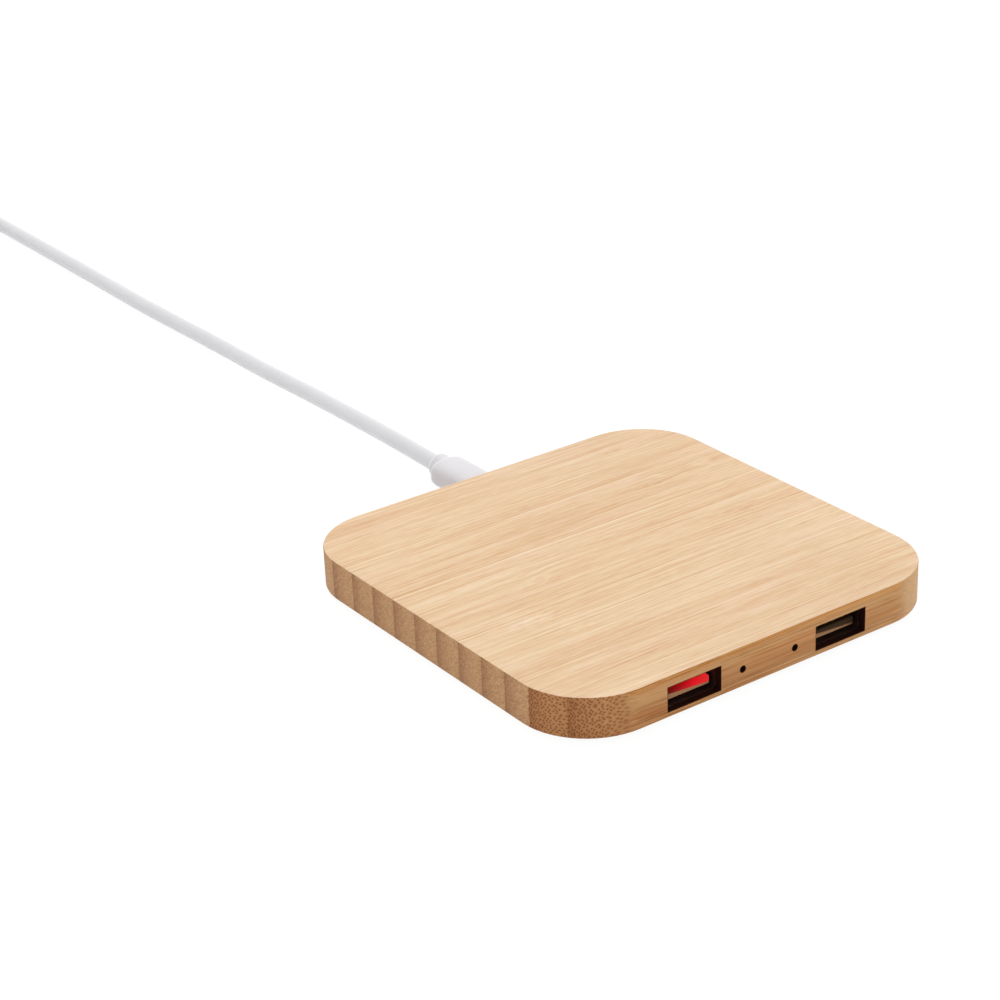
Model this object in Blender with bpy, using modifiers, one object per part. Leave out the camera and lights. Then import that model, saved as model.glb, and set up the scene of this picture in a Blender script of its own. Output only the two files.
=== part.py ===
"""A bamboo wireless charging pad with two USB-A ports, and the white cable that plugs into its back.

The pad's middle is at x = y = 0 and its feet stand on z = 0. The ports face -Y and the cable leaves along +Y.
All sizes are in metres.
"""

import math

import bmesh
import bpy
import numpy as np
from mathutils import Matrix, Vector

# Clearances
SEAT_GAP = 0.0003  # between a piece and what it rests on or lies beside
FIT_GAP = 0.00015  # round the plug in its socket
SOLDER_GAP = 0.0001  # under a piece soldered to the board
CUT_OVER = 0.0006  # how far a cutter runs past the face that it opens

# Body of laminated bamboo
BODY_SIDE = 0.095
BODY_CORNER = 0.0155
BODY_EDGE = 0.0003
RIM = 0.004  # bamboo left round the cover
LEDGE = 0.0015  # the step that the cover closes against
LAND_CORNER = 0.02  # the pocket's corners, which leave a land for each cover screw
ROOF = 0.0015  # bamboo left over the pocket
PORT_WALL = 0.0014  # bamboo left in front of a receptacle
BAY_CORNER = 0.001
BAY_SIDE_GAP = 0.0008  # beside the board's tab in the plug's bay
BAY_REAR_GAP = 0.0005  # behind a receptacle, where its bay ends
SLOT_CORNER = 0.0004
PIN_HOLE_R = 0.00068
PIN_PITCH = 0.0131

# Row of ports
PORT_PITCH = 0.03675
PORT_MIDDLE_X = -0.0006
PORT_UNDER = 0.00029  # from the cover to a receptacle's shell
PORT_OVER = 0.00064  # from the shell to the pocket's roof
MOUTH_SIDE_GAP = 0.00017
MOUTH_RISE_GAP = 0.00004

# USB-A receptacle
USB_IN_W = 0.0125
USB_IN_H = 0.00512
USB_IN_CORNER = 0.0003
USB_WALL = 0.00025
USB_LENGTH = 0.014
TONGUE_SIDE = 0.0006  # from the tongue to the shell's side
TONGUE_T = 0.00184
TONGUE_LIFT = 0.0007
TONGUE_SET = 0.0007  # from the shell's mouth back to the tongue
TONGUE_EDGE = 0.0002
TONGUE_BLOCK = 0.003
CONTACT_W = 0.001
CONTACT_T = 0.00018
CONTACT_RISE = 0.0004
CONTACT_LENGTH = 0.0085
CONTACT_SET = 0.0008
CONTACT_X_SHARES = (-0.28, -0.08, 0.08, 0.28)  # of the shell's inner width
FINGER_W = 0.0018
FINGER_LENGTH = 0.0045
FINGER_SET = 0.0035
FINGER_SLIT = 0.0004
TAB_REACH = 0.0013
TAB_LENGTH = 0.0025
TAB_SET = 0.0075

# Base cover, its screws and its feet
COVER_T = 0.0007
COVER_BOSS_R = 0.0022
TAB_STEP = 0.00008  # a tab's faces in from the cover's
RIB_T = 0.0009
RIB_DROP = 0.0001  # a rib's top below a boss's
RIB_INSET = 0.0065  # from the seat's side to a rib's end
RIB_Y_SHARES = (-0.12, 0.08, 0.28)  # of the body's side
FOOT_STAND = 0.0008
FOOT_R = 0.004
FOOT_SUNK = 0.0004
FOOT_BEVEL = 0.0004
FOOT_INSET = 0.0155  # from the body's side to a foot's middle
PAD_WALL = 0.001
PAD_ROOF = 0.0005  # left over a foot's recess
COVER_SCREW_INSET = 0.0094  # from the body's side to a screw's axis
COVER_HEAD_R = 0.0015
COVER_HEAD_H = 0.0005
COVER_SHANK_R = 0.0007
COVER_SCREW_LENGTH = 0.0042
SCREW_POINT = 0.0006
DRIVE_W = 0.0004
DRIVE_SHARE = 0.7  # of the head's radius
DRIVE_DEPTH = 0.0003

# Main board
BOARD_T = 0.001
BOARD_GAP = 0.001  # to the pocket's walls
BOARD_BAR_BEHIND = 0.0108  # from the receptacles' rear to the bar's
BOARD_STEM_HALF = 0.0145
BOARD_TAB_HALF = 0.005
BOARD_SCREW_SIDE = 0.008  # from the bar's end to a screw's axis
BOARD_SCREW_EDGE = 0.004  # from the bar's or the stem's rear edge to a screw's axis
BOARD_SCREW_STEM = 0.0035  # from the stem's side to a screw's axis
BOARD_SHANK_R = 0.0008
BOARD_HEAD_R = 0.0015
BOARD_HEAD_H = 0.0008

# Pieces on the board
LED_W = 0.0022
LED_D = 0.0012
LED_LENS_SHARE = 0.55  # of the light's height
CHIP_SIDE = 0.006
CHIP_H = 0.0009
CHIP_SET = 0.012  # from the board's rear edge
HUB_SIDE = 0.005
HUB_SET = 0.0145  # from the board's front edge, as are those below
INDUCTOR_SIDE = 0.0055
INDUCTOR_H = 0.0025
INDUCTOR_CORNER = 0.0012
INDUCTOR_SET = 0.007
CAPACITOR_R = 0.0022
CAPACITOR_H = 0.0032
CAPACITOR_FOOT = 0.0006
CAPACITOR_SET = 0.0029  # from the receptacles' rear
CAPACITOR_X_SHARES = (-0.36, 0.36, 0.49)  # of half the body's side
CRYSTAL_W = 0.0032
CRYSTAL_D = 0.0025
CRYSTAL_H = 0.0008
CRYSTAL_CORNER = 0.0005
CRYSTAL_X = 0.0065
PORT_LIGHT_GAP = 0.0018  # from the left receptacle's shell to its red light

# Transmit coil, between the pocket's roof and the ferrite sheet
WIRE_R = 0.0005
WIRE_PITCH = 0.0015
WIRE_INNER = 0.01025
WIRE_TURNS = 7.75
WIRE_BEND = 0.0012
TAPE_T = 0.00025
TAPE_HOLE = 0.0085
FERRITE_T = 0.0008

# Micro-USB plug and socket
PLUG_X = 0.00105
PLUG_RISE = 0.0043  # from the body's underside to the plug's axis
TIP_W = 0.0067
TIP_H = 0.0017
TIP_CHAMFER = 0.0006
TIP_WALL = 0.00022
TIP_REACH = 0.0056  # from the overmould's face to the end of the tip
TIP_ROOT = 0.0022  # the tip's length inside the overmould
INSERT_LENGTH = 0.0035
SOCKET_WALL = 0.00025
SOCKET_LENGTH = 0.0054
SOCKET_SET = 0.0006  # from the body's back face in to the socket's mouth
SOCKET_BLOCK = 0.0008
SOCKET_TONGUE_W = 0.0038
SOCKET_TONGUE_T = 0.0005
SOCKET_TONGUE_LENGTH = 0.0032
EAR_W = 0.001
EAR_LENGTH = 0.0016
PLUG_STANDOFF = 0.0004  # from the body's back face to the overmould
GRIP_W = 0.0085
GRIP_H = 0.0057
GRIP_LENGTH = 0.0148
GRIP_EDGE = 0.0004
GRIP_SHOULDER = 0.0013
GRIP_REAR_W = 0.0084
GRIP_REAR_H = 0.005
COLLAR_R = 0.0028
COLLAR_LENGTH = 0.0029
COLLAR_STEP = 0.00025
COLLAR_EDGE = 0.0004

# Cord
CORD_R = 0.0019
CORD_LENGTH = 1.0
CORD_STEP = 0.0095
CORD_ROUTE = (
    (0.00105, 0.0659, 0.0051),
    (0.00105, 0.0720, 0.0051),
    (0.0012, 0.0780, 0.0051),
    (0.0014, 0.0870, 0.00497),
    (0.0017, 0.0990, 0.00465),
    (0.0020, 0.1150, 0.0042),
    (0.0021, 0.1300, 0.00375),
    (0.0022, 0.1440, 0.0033),
    (0.0026, 0.1600, 0.00285),
    (0.0029, 0.1755, 0.00245),
    (0.0029, 0.1920, 0.00215),
    (0.0028, 0.2080, 0.0020),
    (0.0029, 0.2250, 0.0020),
    (0.0030, 0.2433, 0.0020),
    (0.0030, 0.2620, 0.0020),
    (0.0030, 0.2810, 0.0020),
    (0.0030, 0.2960, 0.0020),
    (0.0030, 0.3112, 0.0020),
)
FLOOR_LIFT = 0.0001  # what the cable's pieces keep to the surface
COIL_OUTER = 0.0267  # radius of the outermost turn's middle
COIL_PITCH = 0.0043
COIL_LAYER = 0.0043
COIL_TURNS = 2.5  # in each of its two layers
CLIMB_TURNS = 0.5
COIL_LEAD = 0.0042  # straight stretch before the first turn
TAIL_END = 0.0058  # straight stretch at the far plug
TIE_T = 0.0006
TIE_W = 0.0045
TIE_SPREAD = 40  # degrees each side of the tie over which the turns rise onto it

# USB-A plug at the cord's far end
FAR_W = 0.0156
FAR_H = 0.0076
FAR_LENGTH = 0.0155
FAR_EDGE = 0.0005
FAR_SHOULDER = 0.0035
FAR_REAR_W = 0.0086
FAR_REAR_H = 0.0066
RELIEF_R = 0.0029
RELIEF_END_R = 0.0025
RELIEF_GROOVE = 0.0005
RELIEF_STEP = 0.0011
RELIEF_RIBS = 4
FAR_SHELL_W = 0.012
FAR_SHELL_H = 0.0045
FAR_SHELL_WALL = 0.0003
FAR_SHELL_CORNER = 0.0004
FAR_SHELL_REACH = 0.0118
FAR_SHELL_ROOT = 0.0025
FAR_WINDOW_W = 0.0023
FAR_WINDOW_L = 0.0019
FAR_WINDOW_X = 0.003
FAR_WINDOW_SET = 0.0052
FAR_INSERT_T = 0.0019
FAR_INSERT_SET = 0.0004

# Counts
CORNER_STEPS = 14
SMALL_STEPS = 3
HOLE_STEPS = 16
ROUND_STEPS = 28
LOFT_POINTS = 24
LOOP_POINTS = 24
FINE_STEPS = 12
SHOULDER_STEPS = 5

WELD = 0.000001
SIDES = (-1, 1)
CORNERS = ((-1, -1), (1, -1), (1, 1), (-1, 1))

# Levels and lines that several pieces share
BODY_HALF = BODY_SIDE / 2
BODY_LOW = FOOT_STAND
COVER_TOP = BODY_LOW + COVER_T
USB_OUT_W = USB_IN_W + 2 * USB_WALL
USB_OUT_H = USB_IN_H + 2 * USB_WALL
PORT_Z = COVER_TOP + PORT_UNDER + USB_OUT_H / 2
ROOF_Z = PORT_Z + USB_OUT_H / 2 + PORT_OVER
BODY_TOP = ROOF_Z + ROOF
FOOT_X = BODY_HALF - FOOT_INSET
COVER_SCREW_X = BODY_HALF - COVER_SCREW_INSET
SEAT_Z = COVER_TOP + SEAT_GAP
SEAT_HALF = BODY_HALF - RIM
SEAT_CORNER = BODY_CORNER - RIM
POCKET_HALF = SEAT_HALF - LEDGE
BAY_END = BODY_HALF - PORT_WALL
PORT_XS = tuple(PORT_MIDDLE_X + side * PORT_PITCH / 2 for side in SIDES)
PIN_XS = tuple(PORT_MIDDLE_X + side * PIN_PITCH / 2 for side in SIDES)
TONGUE_W = USB_IN_W - 2 * TONGUE_SIDE
USB_MOUTH_Y = -BAY_END + SEAT_GAP
USB_REAR_Y = USB_MOUTH_Y + USB_LENGTH
TONGUE_Y = USB_MOUTH_Y + TONGUE_SET
TONGUE_LOW = PORT_Z - USB_IN_H / 2 + TONGUE_LIFT
TONGUE_TOP = TONGUE_LOW + TONGUE_T
BAY_HALF = USB_OUT_W / 2 + TAB_REACH + SEAT_GAP
PLUG_Z = BODY_LOW + PLUG_RISE
SOCKET_W = TIP_W + 2 * (FIT_GAP + SOCKET_WALL)
SOCKET_H = TIP_H + 2 * (FIT_GAP + SOCKET_WALL)
SOCKET_MOUTH_Y = BODY_HALF - SOCKET_SET
BOARD_TOP = PLUG_Z - SOCKET_H / 2 - SEAT_GAP
BOARD_LOW = BOARD_TOP - BOARD_T
BOARD_HALF = POCKET_HALF - BOARD_GAP
BOARD_BAR_REAR = USB_REAR_Y + BOARD_BAR_BEHIND
BOSS_TOP = BOARD_LOW - SEAT_GAP
TAPE_TOP = ROOF_Z - SEAT_GAP
WIRE_Z = TAPE_TOP - TAPE_T - SEAT_GAP - WIRE_R
WIRE_OUTER = WIRE_INNER + WIRE_PITCH * WIRE_TURNS
FERRITE_TOP = WIRE_Z - WIRE_R - SEAT_GAP
FERRITE_R = WIRE_OUTER - WIRE_R - SEAT_GAP
GRIP_Y = BODY_HALF + PLUG_STANDOFF
TIP_END_Y = GRIP_Y - TIP_REACH
FAR_Z = FAR_H / 2 + FLOOR_LIFT
COIL_CENTRE = Vector((CORD_ROUTE[-1][0] - COIL_OUTER, CORD_ROUTE[-1][1] + SEAT_GAP + COIL_LEAD, 0))
COIL_LOW = CORD_R + FLOOR_LIFT


# Groups and materials


def new_group(name):
    group = bpy.data.collections.new(name)
    bpy.context.scene.collection.children.link(group)
    return group


def finish(name, colour, roughness, metallic=0.0):
    material = bpy.data.materials.new(name)
    material.use_nodes = True
    shader = material.node_tree.nodes["Principled BSDF"]
    shader.inputs["Base Color"].default_value = (*colour, 1)
    shader.inputs["Roughness"].default_value = roughness
    shader.inputs["Metallic"].default_value = metallic
    material.diffuse_color = (*colour, 1)
    return material


for old in list(bpy.data.objects):
    bpy.data.objects.remove(old, do_unlink=True)

PARTS = new_group("wireless_charger")
CUTTERS = new_group("cutters")

BAMBOO = finish("bamboo", (0.78, 0.56, 0.33), 0.5)
COVER_BLACK = finish("black_abs", (0.025, 0.025, 0.027), 0.55)
RUBBER = finish("grey_rubber", (0.06, 0.06, 0.065), 0.8)
STEEL = finish("plated_steel", (0.62, 0.62, 0.6), 0.28, 1.0)
BOARD_GREEN = finish("board_green", (0.02, 0.11, 0.05), 0.4)
PORT_RED = finish("port_red", (0.62, 0.03, 0.03), 0.4)
PORT_BLACK = finish("port_black", (0.03, 0.024, 0.02), 0.45)
GOLD = finish("gold_contacts", (0.83, 0.6, 0.25), 0.3, 1.0)
CHIP_BLACK = finish("chip_black", (0.02, 0.02, 0.02), 0.5)
LIGHT_CLEAR = finish("light_clear", (0.8, 0.8, 0.76), 0.2)
LIGHT_RED = finish("light_red", (0.8, 0.02, 0.02), 0.2)
ALUMINIUM = finish("capacitor_can", (0.7, 0.7, 0.7), 0.35, 1.0)
COPPER = finish("enamelled_copper", (0.6, 0.22, 0.07), 0.35, 1.0)
FERRITE = finish("ferrite", (0.05, 0.05, 0.055), 0.6)
TAPE = finish("amber_tape", (0.55, 0.3, 0.06), 0.35)
WHITE_TPE = finish("white_tpe", (0.82, 0.82, 0.82), 0.42)
WHITE_GLOSS = finish("white_plastic", (0.85, 0.85, 0.85), 0.3)


def axis_empty(name, at):
    empty = bpy.data.objects.new(name, None)
    empty.location = at
    empty.empty_display_size = BODY_CORNER
    PARTS.objects.link(empty)
    return empty


PAD = axis_empty("pad_frame", (0, 0, 0))
CABLE = axis_empty("cable_slide_axis", (PLUG_X, SOCKET_MOUTH_Y, PLUG_Z))
bpy.context.view_layer.update()


# Ways to make a solid


def place(name, mesh, at, look, carrier=PAD):
    """A sub-part at a place in the whole, carried by the pad or by the cable. With no look it is a cutter."""
    obj = bpy.data.objects.new(name, mesh)
    obj.location = at
    if look is None:
        obj.hide_render = True
        obj.display_type = "WIRE"
        CUTTERS.objects.link(obj)
        return obj
    mesh.materials.clear()
    mesh.materials.append(look)
    mesh.shade_smooth()
    mesh.set_sharp_from_angle(angle=math.radians(35))
    PARTS.objects.link(obj)
    obj.parent = carrier
    obj.matrix_parent_inverse = carrier.matrix_world.inverted()
    return obj


def tidy(mesh, flatten=False):
    """Welds a mesh and turns its faces outwards. Flatten makes one face of each flat cap."""
    form = bmesh.new()
    form.from_mesh(mesh)
    bmesh.ops.remove_doubles(form, verts=form.verts, dist=WELD)
    if flatten:
        bmesh.ops.dissolve_limit(form, angle_limit=math.radians(1), verts=form.verts, edges=form.edges)
    bmesh.ops.recalc_face_normals(form, faces=form.faces)
    form.to_mesh(mesh)
    form.free()
    return mesh


def mesh_of_curve(curve):
    guide = bpy.data.objects.new(curve.name, curve)
    CUTTERS.objects.link(guide)
    bpy.context.view_layer.update()
    graph = bpy.context.evaluated_depsgraph_get()
    mesh = bpy.data.meshes.new_from_object(guide.evaluated_get(graph))
    bpy.data.objects.remove(guide, do_unlink=True)
    bpy.data.curves.remove(curve)
    return mesh


TURNS = {
    "Z": Matrix.Identity(4),
    "Y": Matrix.Rotation(math.pi / 2, 4, "X"),
    "X": Matrix(((0, 0, 1, 0), (1, 0, 0, 0), (0, 1, 0, 0), (0, 0, 0, 1))),
}


def prism(name, loops, depth, at, look, carrier=PAD, axis="Z", flatten=False):
    """A flat outline, with any holes as further loops, thickened along an axis about its middle."""
    curve = bpy.data.curves.new(name, "CURVE")
    curve.dimensions = "2D"
    curve.fill_mode = "BOTH"
    curve.extrude = depth / 2
    for loop in loops:
        spline = curve.splines.new("POLY")
        spline.points.add(len(loop) - 1)
        for point, (x, y) in zip(spline.points, loop):
            point.co = (x, y, 0, 1)
        spline.use_cyclic_u = True
    mesh = mesh_of_curve(curve)
    mesh.transform(TURNS[axis])
    return place(name, tidy(mesh, flatten), at, look, carrier)


def slab(name, loops, low, high, look, at=(0, 0), carrier=PAD, flatten=False):
    """A prism between two heights."""
    middle = (at[0], at[1], (low + high) / 2)
    return prism(name, loops, high - low, middle, look, carrier, "Z", flatten)


def box(name, low, high, look, carrier=PAD):
    """A cuboid between two opposite corners."""
    form = bmesh.new()
    size = Vector(high) - Vector(low)
    bmesh.ops.create_cube(form, size=1, matrix=Matrix.Diagonal((*size, 1)))
    mesh = bpy.data.meshes.new(name)
    form.to_mesh(mesh)
    form.free()
    return place(name, mesh, (Vector(low) + Vector(high)) / 2, look, carrier)


def rod(name, radius, length, at, look, axis="Z", steps=HOLE_STEPS, carrier=PAD):
    """A cylinder about the middle of its length."""
    form = bmesh.new()
    bmesh.ops.create_cone(
        form, cap_ends=True, segments=steps, radius1=radius, radius2=radius, depth=length, matrix=TURNS[axis]
    )
    mesh = bpy.data.meshes.new(name)
    form.to_mesh(mesh)
    form.free()
    return place(name, mesh, at, look, carrier)


def turned(name, profile, at, look, steps=ROUND_STEPS, carrier=PAD):
    """A profile of (radius, height) points, from top to bottom, turned about the vertical."""
    form = bmesh.new()
    points = [form.verts.new((radius, 0, height)) for radius, height in profile]
    for a, b in zip(points, points[1:]):
        form.edges.new((a, b))
    mesh = bpy.data.meshes.new(name)
    form.to_mesh(mesh)
    form.free()
    obj = place(name, mesh, at, look, carrier)
    screw = obj.modifiers.new("turn", "SCREW")
    screw.steps = screw.render_steps = steps
    screw.use_merge_vertices = True
    screw.merge_threshold = WELD
    screw.use_smooth_shade = True
    return obj


def loft(name, sections, at, look, carrier):
    """A skin over rings along +Y, each (place, half width, half height, squareness)."""
    form = bmesh.new()
    rings = []
    for y, half_x, half_z, square in sections:
        ring = []
        for i in range(LOFT_POINTS):
            turn = 2 * math.pi * (i + 0.5) / LOFT_POINTS
            c, s = math.cos(turn), math.sin(turn)
            x = half_x * math.copysign(abs(c) ** (2 / square), c)
            z = half_z * math.copysign(abs(s) ** (2 / square), s)
            ring.append(form.verts.new((x, y, z)))
        rings.append(ring)
    for near, far in zip(rings, rings[1:]):
        for i in range(LOFT_POINTS):
            k = (i + 1) % LOFT_POINTS
            form.faces.new((near[i], near[k], far[k], far[i]))
    form.faces.new(rings[0])
    form.faces.new(rings[-1])
    mesh = bpy.data.meshes.new(name)
    form.to_mesh(mesh)
    form.free()
    return place(name, tidy(mesh), at, look, carrier)


def tube(name, points, radius, resolution, look, carrier):
    """A round wire or cord through points in the whole's own frame."""
    curve = bpy.data.curves.new(name, "CURVE")
    curve.dimensions = "3D"
    curve.bevel_depth = radius
    curve.bevel_resolution = resolution
    curve.use_fill_caps = True
    spline = curve.splines.new("POLY")
    spline.points.add(len(points) - 1)
    for point, place_of in zip(spline.points, points):
        point.co = (*place_of, 1)
    curve.materials.append(look)
    obj = bpy.data.objects.new(name, curve)
    PARTS.objects.link(obj)
    obj.parent = carrier
    obj.matrix_parent_inverse = carrier.matrix_world.inverted()
    return obj


def combine(obj, other, operation):
    """Cuts another solid from this one, or joins it on, and keeps the other as a hidden helper."""
    step = obj.modifiers.new(other.name, "BOOLEAN")
    step.operation = operation
    step.object = other


def cut(obj, *others):
    for other in others:
        combine(obj, other, "DIFFERENCE")


def join(obj, *others):
    for other in others:
        combine(obj, other, "UNION")


def cut_drive(screw, head_r, low, high, at):
    """A cross recess in a screw's head."""
    reach, half = head_r * DRIVE_SHARE, DRIVE_W / 2
    for arm, (half_x, half_y) in enumerate(((reach, half), (half, reach)), 1):
        near = (at[0] - half_x, at[1] - half_y, low)
        far = (at[0] + half_x, at[1] + half_y, high)
        cut(screw, box(f"{screw.name}_drive_{arm}", near, far, None))


def round_edges(obj, width, segments, degrees=50):
    step = obj.modifiers.new("edges", "BEVEL")
    step.width = width
    step.segments = segments
    step.limit_method = "ANGLE"
    step.angle_limit = math.radians(degrees)


# Outlines


def arc(x, y, radius, start, end, steps):
    """Points of an arc between two angles in degrees, with both its ends."""
    angles = [math.radians(start + (end - start) * i / steps) for i in range(steps + 1)]
    return [(x + radius * math.cos(a), y + radius * math.sin(a)) for a in angles]


def circle(x, y, radius, steps=HOLE_STEPS):
    return arc(x, y, radius, 0, 360, steps)[:-1]


def rounded(half_x, half_y, radius, steps=SMALL_STEPS):
    """A rectangle with round corners about the origin."""
    points = []
    for (side_x, side_y), start in zip(CORNERS, (180, 270, 0, 90)):
        points += arc(side_x * (half_x - radius), side_y * (half_y - radius), radius, start, start + 90, steps)
    return points


def bays(gap):
    """The middle and half sizes of the bay behind each port and of the one at the plug, each less a gap."""
    end = BAY_END - gap
    inner = -USB_REAR_Y - BAY_REAR_GAP
    found = [((x, -(end + inner) / 2), (BAY_HALF - gap, (end - inner) / 2)) for x in PORT_XS]
    inner = POCKET_HALF - BAY_CORNER
    found.append(((PLUG_X, (end + inner) / 2), (BOARD_TAB_HALF + BAY_SIDE_GAP - gap, (end - inner) / 2)))
    return found


def plug_section(width, height, chamfer):
    """The plug's outline: flat on top, with its two lower corners cut off."""
    half_x, half_z = width / 2, height / 2
    return [
        (-half_x, half_z),
        (-half_x, chamfer - half_z),
        (chamfer - half_x, -half_z),
        (half_x - chamfer, -half_z),
        (half_x, chamfer - half_z),
        (half_x, half_z),
    ]


def along_y(low, high):
    """The length and the middle of a stretch of Y."""
    return high - low, (low + high) / 2


# Body and base cover


def bamboo_body():
    body = slab(
        "bamboo_body",
        [rounded(BODY_HALF, BODY_HALF, BODY_CORNER, CORNER_STEPS)],
        BODY_LOW,
        BODY_TOP,
        BAMBOO,
        flatten=True,
    )
    round_edges(body, BODY_EDGE, 2)
    under = BODY_LOW - CUT_OVER
    cut(
        body,
        slab("seat_cut", [rounded(SEAT_HALF, SEAT_HALF, SEAT_CORNER, CORNER_STEPS)], under, SEAT_Z, None),
        slab("pocket_cut", [rounded(POCKET_HALF, POCKET_HALF, LAND_CORNER, CORNER_STEPS)], under, ROOF_Z, None),
    )
    for n, (at, half) in enumerate(bays(0), 1):
        cut(body, slab(f"bay_cut_{n}", [rounded(*half, BAY_CORNER)], under, ROOF_Z, None, at))
    depth, middle = along_y(-BODY_HALF - CUT_OVER, -BAY_END + CUT_OVER)
    mouth = rounded(USB_IN_W / 2 + MOUTH_SIDE_GAP, USB_IN_H / 2 + MOUTH_RISE_GAP, SLOT_CORNER)
    for n, x in enumerate(PORT_XS, 1):
        cut(body, prism(f"mouth_cut_{n}", [mouth], depth, (x, middle, PORT_Z), None, axis="Y"))
    depth, middle = along_y(-BODY_HALF - CUT_OVER, -POCKET_HALF + CUT_OVER)
    for n, x in enumerate(PIN_XS, 1):
        cut(body, rod(f"pin_cut_{n}", PIN_HOLE_R, depth, (x, middle, PORT_Z), None, "Y"))
    depth, middle = along_y(BAY_END - CUT_OVER, BODY_HALF + CUT_OVER)
    grown = 2 * SEAT_GAP
    opening = plug_section(SOCKET_W + grown, SOCKET_H + grown, TIP_CHAMFER)
    cut(body, prism("socket_cut", [opening], depth, (PLUG_X, middle, PLUG_Z), None, axis="Y"))
    pilot = COVER_SHANK_R + SEAT_GAP
    top = BODY_LOW + COVER_SCREW_LENGTH + SEAT_GAP
    for n, (side_x, side_y) in enumerate(CORNERS, 1):
        at = (side_x * COVER_SCREW_X, side_y * COVER_SCREW_X, (SEAT_Z - CUT_OVER + top) / 2)
        cut(body, rod(f"pilot_cut_{n}", pilot, top - SEAT_Z + CUT_OVER, at, None))


def board_screw_places():
    """Two screws in the bar and two in the stem."""
    bar = [(side * (BOARD_HALF - BOARD_SCREW_SIDE), BOARD_BAR_REAR - BOARD_SCREW_EDGE) for side in SIDES]
    stem_x, stem_y = BOARD_STEM_HALF - BOARD_SCREW_STEM, BOARD_HALF - BOARD_SCREW_EDGE
    stem = [(PLUG_X + side * stem_x, stem_y) for side in SIDES]
    return bar + stem


def base_cover():
    inset = SEAT_HALF - SEAT_GAP
    outline = rounded(inset, inset, SEAT_CORNER - SEAT_GAP, CORNER_STEPS)
    cover = slab("base_cover", [outline], BODY_LOW, COVER_TOP, COVER_BLACK, flatten=True)
    for n, (at, half) in enumerate(bays(SEAT_GAP), 1):
        corner = BAY_CORNER - SEAT_GAP
        low, high = BODY_LOW + TAB_STEP, COVER_TOP - TAB_STEP
        join(cover, slab(f"bay_tab_{n}", [rounded(*half, corner)], low, high, None, at))
    inside = BODY_LOW + COVER_T / 2
    pad_r = FOOT_R + SEAT_GAP + PAD_WALL
    pad_top = BODY_LOW + FOOT_SUNK + PAD_ROOF
    for n, share in enumerate(RIB_Y_SHARES, 1):
        low = (RIB_INSET - SEAT_HALF, share * BODY_SIDE - RIB_T / 2, inside)
        high = (SEAT_HALF - RIB_INSET, share * BODY_SIDE + RIB_T / 2, BOSS_TOP - RIB_DROP)
        join(cover, box(f"rib_{n}", low, high, None))
    for n, (side_x, side_y) in enumerate(CORNERS, 1):
        at = (side_x * FOOT_X, side_y * FOOT_X, (inside + pad_top) / 2)
        join(cover, rod(f"pad_{n}", pad_r, pad_top - inside, at, None, steps=ROUND_STEPS))
    for n, (x, y) in enumerate(board_screw_places(), 1):
        at = (x, y, (inside + BOSS_TOP) / 2)
        join(cover, rod(f"boss_{n}", COVER_BOSS_R, BOSS_TOP - inside, at, None))
    under = BODY_LOW - CUT_OVER
    for n, (side_x, side_y) in enumerate(CORNERS, 1):
        at = (side_x * FOOT_X, side_y * FOOT_X, (under + BODY_LOW + FOOT_SUNK) / 2)
        recess = rod(f"recess_cut_{n}", FOOT_R + SEAT_GAP, BODY_LOW + FOOT_SUNK - under, at, None, steps=ROUND_STEPS)
        cut(cover, recess)
        hole_r = COVER_SHANK_R + SEAT_GAP
        flare = (COVER_HEAD_R - COVER_SHANK_R) / COVER_HEAD_H
        sink = [
            (0, COVER_TOP + CUT_OVER),
            (hole_r, COVER_TOP + CUT_OVER),
            (hole_r, BODY_LOW + COVER_HEAD_H),
            (hole_r + flare * (COVER_HEAD_H + CUT_OVER), under),
            (0, under),
        ]
        cut(cover, turned(f"sink_cut_{n}", sink, (side_x * COVER_SCREW_X, side_y * COVER_SCREW_X, 0), None, HOLE_STEPS))
    thread_low = BODY_LOW + COVER_T / 2
    for n, (x, y) in enumerate(board_screw_places(), 1):
        at = (x, y, (thread_low + BOSS_TOP + CUT_OVER) / 2)
        hole = rod(f"thread_cut_{n}", BOARD_SHANK_R + SEAT_GAP, BOSS_TOP + CUT_OVER - thread_low, at, None)
        cut(cover, hole)


def rubber_feet():
    top = FOOT_STAND + FOOT_SUNK - SEAT_GAP
    profile = [(0, top), (FOOT_R, top), (FOOT_R, FOOT_BEVEL), (FOOT_R - FOOT_BEVEL, 0), (0, 0)]
    for n, (side_x, side_y) in enumerate(CORNERS, 1):
        turned(f"rubber_foot_{n}", profile, (side_x * FOOT_X, side_y * FOOT_X, 0), RUBBER)


def cover_screws():
    head, tip = BODY_LOW, BODY_LOW + COVER_SCREW_LENGTH
    profile = [
        (0, tip),
        (COVER_SHANK_R / 2, tip),
        (COVER_SHANK_R, tip - SCREW_POINT),
        (COVER_SHANK_R, head + COVER_HEAD_H),
        (COVER_HEAD_R, head),
        (0, head),
    ]
    for n, (side_x, side_y) in enumerate(CORNERS, 1):
        at = (side_x * COVER_SCREW_X, side_y * COVER_SCREW_X)
        screw = turned(f"cover_screw_{n}", profile, (*at, 0), STEEL, HOLE_STEPS)
        cut_drive(screw, COVER_HEAD_R, head - CUT_OVER, head + DRIVE_DEPTH, at)


# Main board and what is on it


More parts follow.
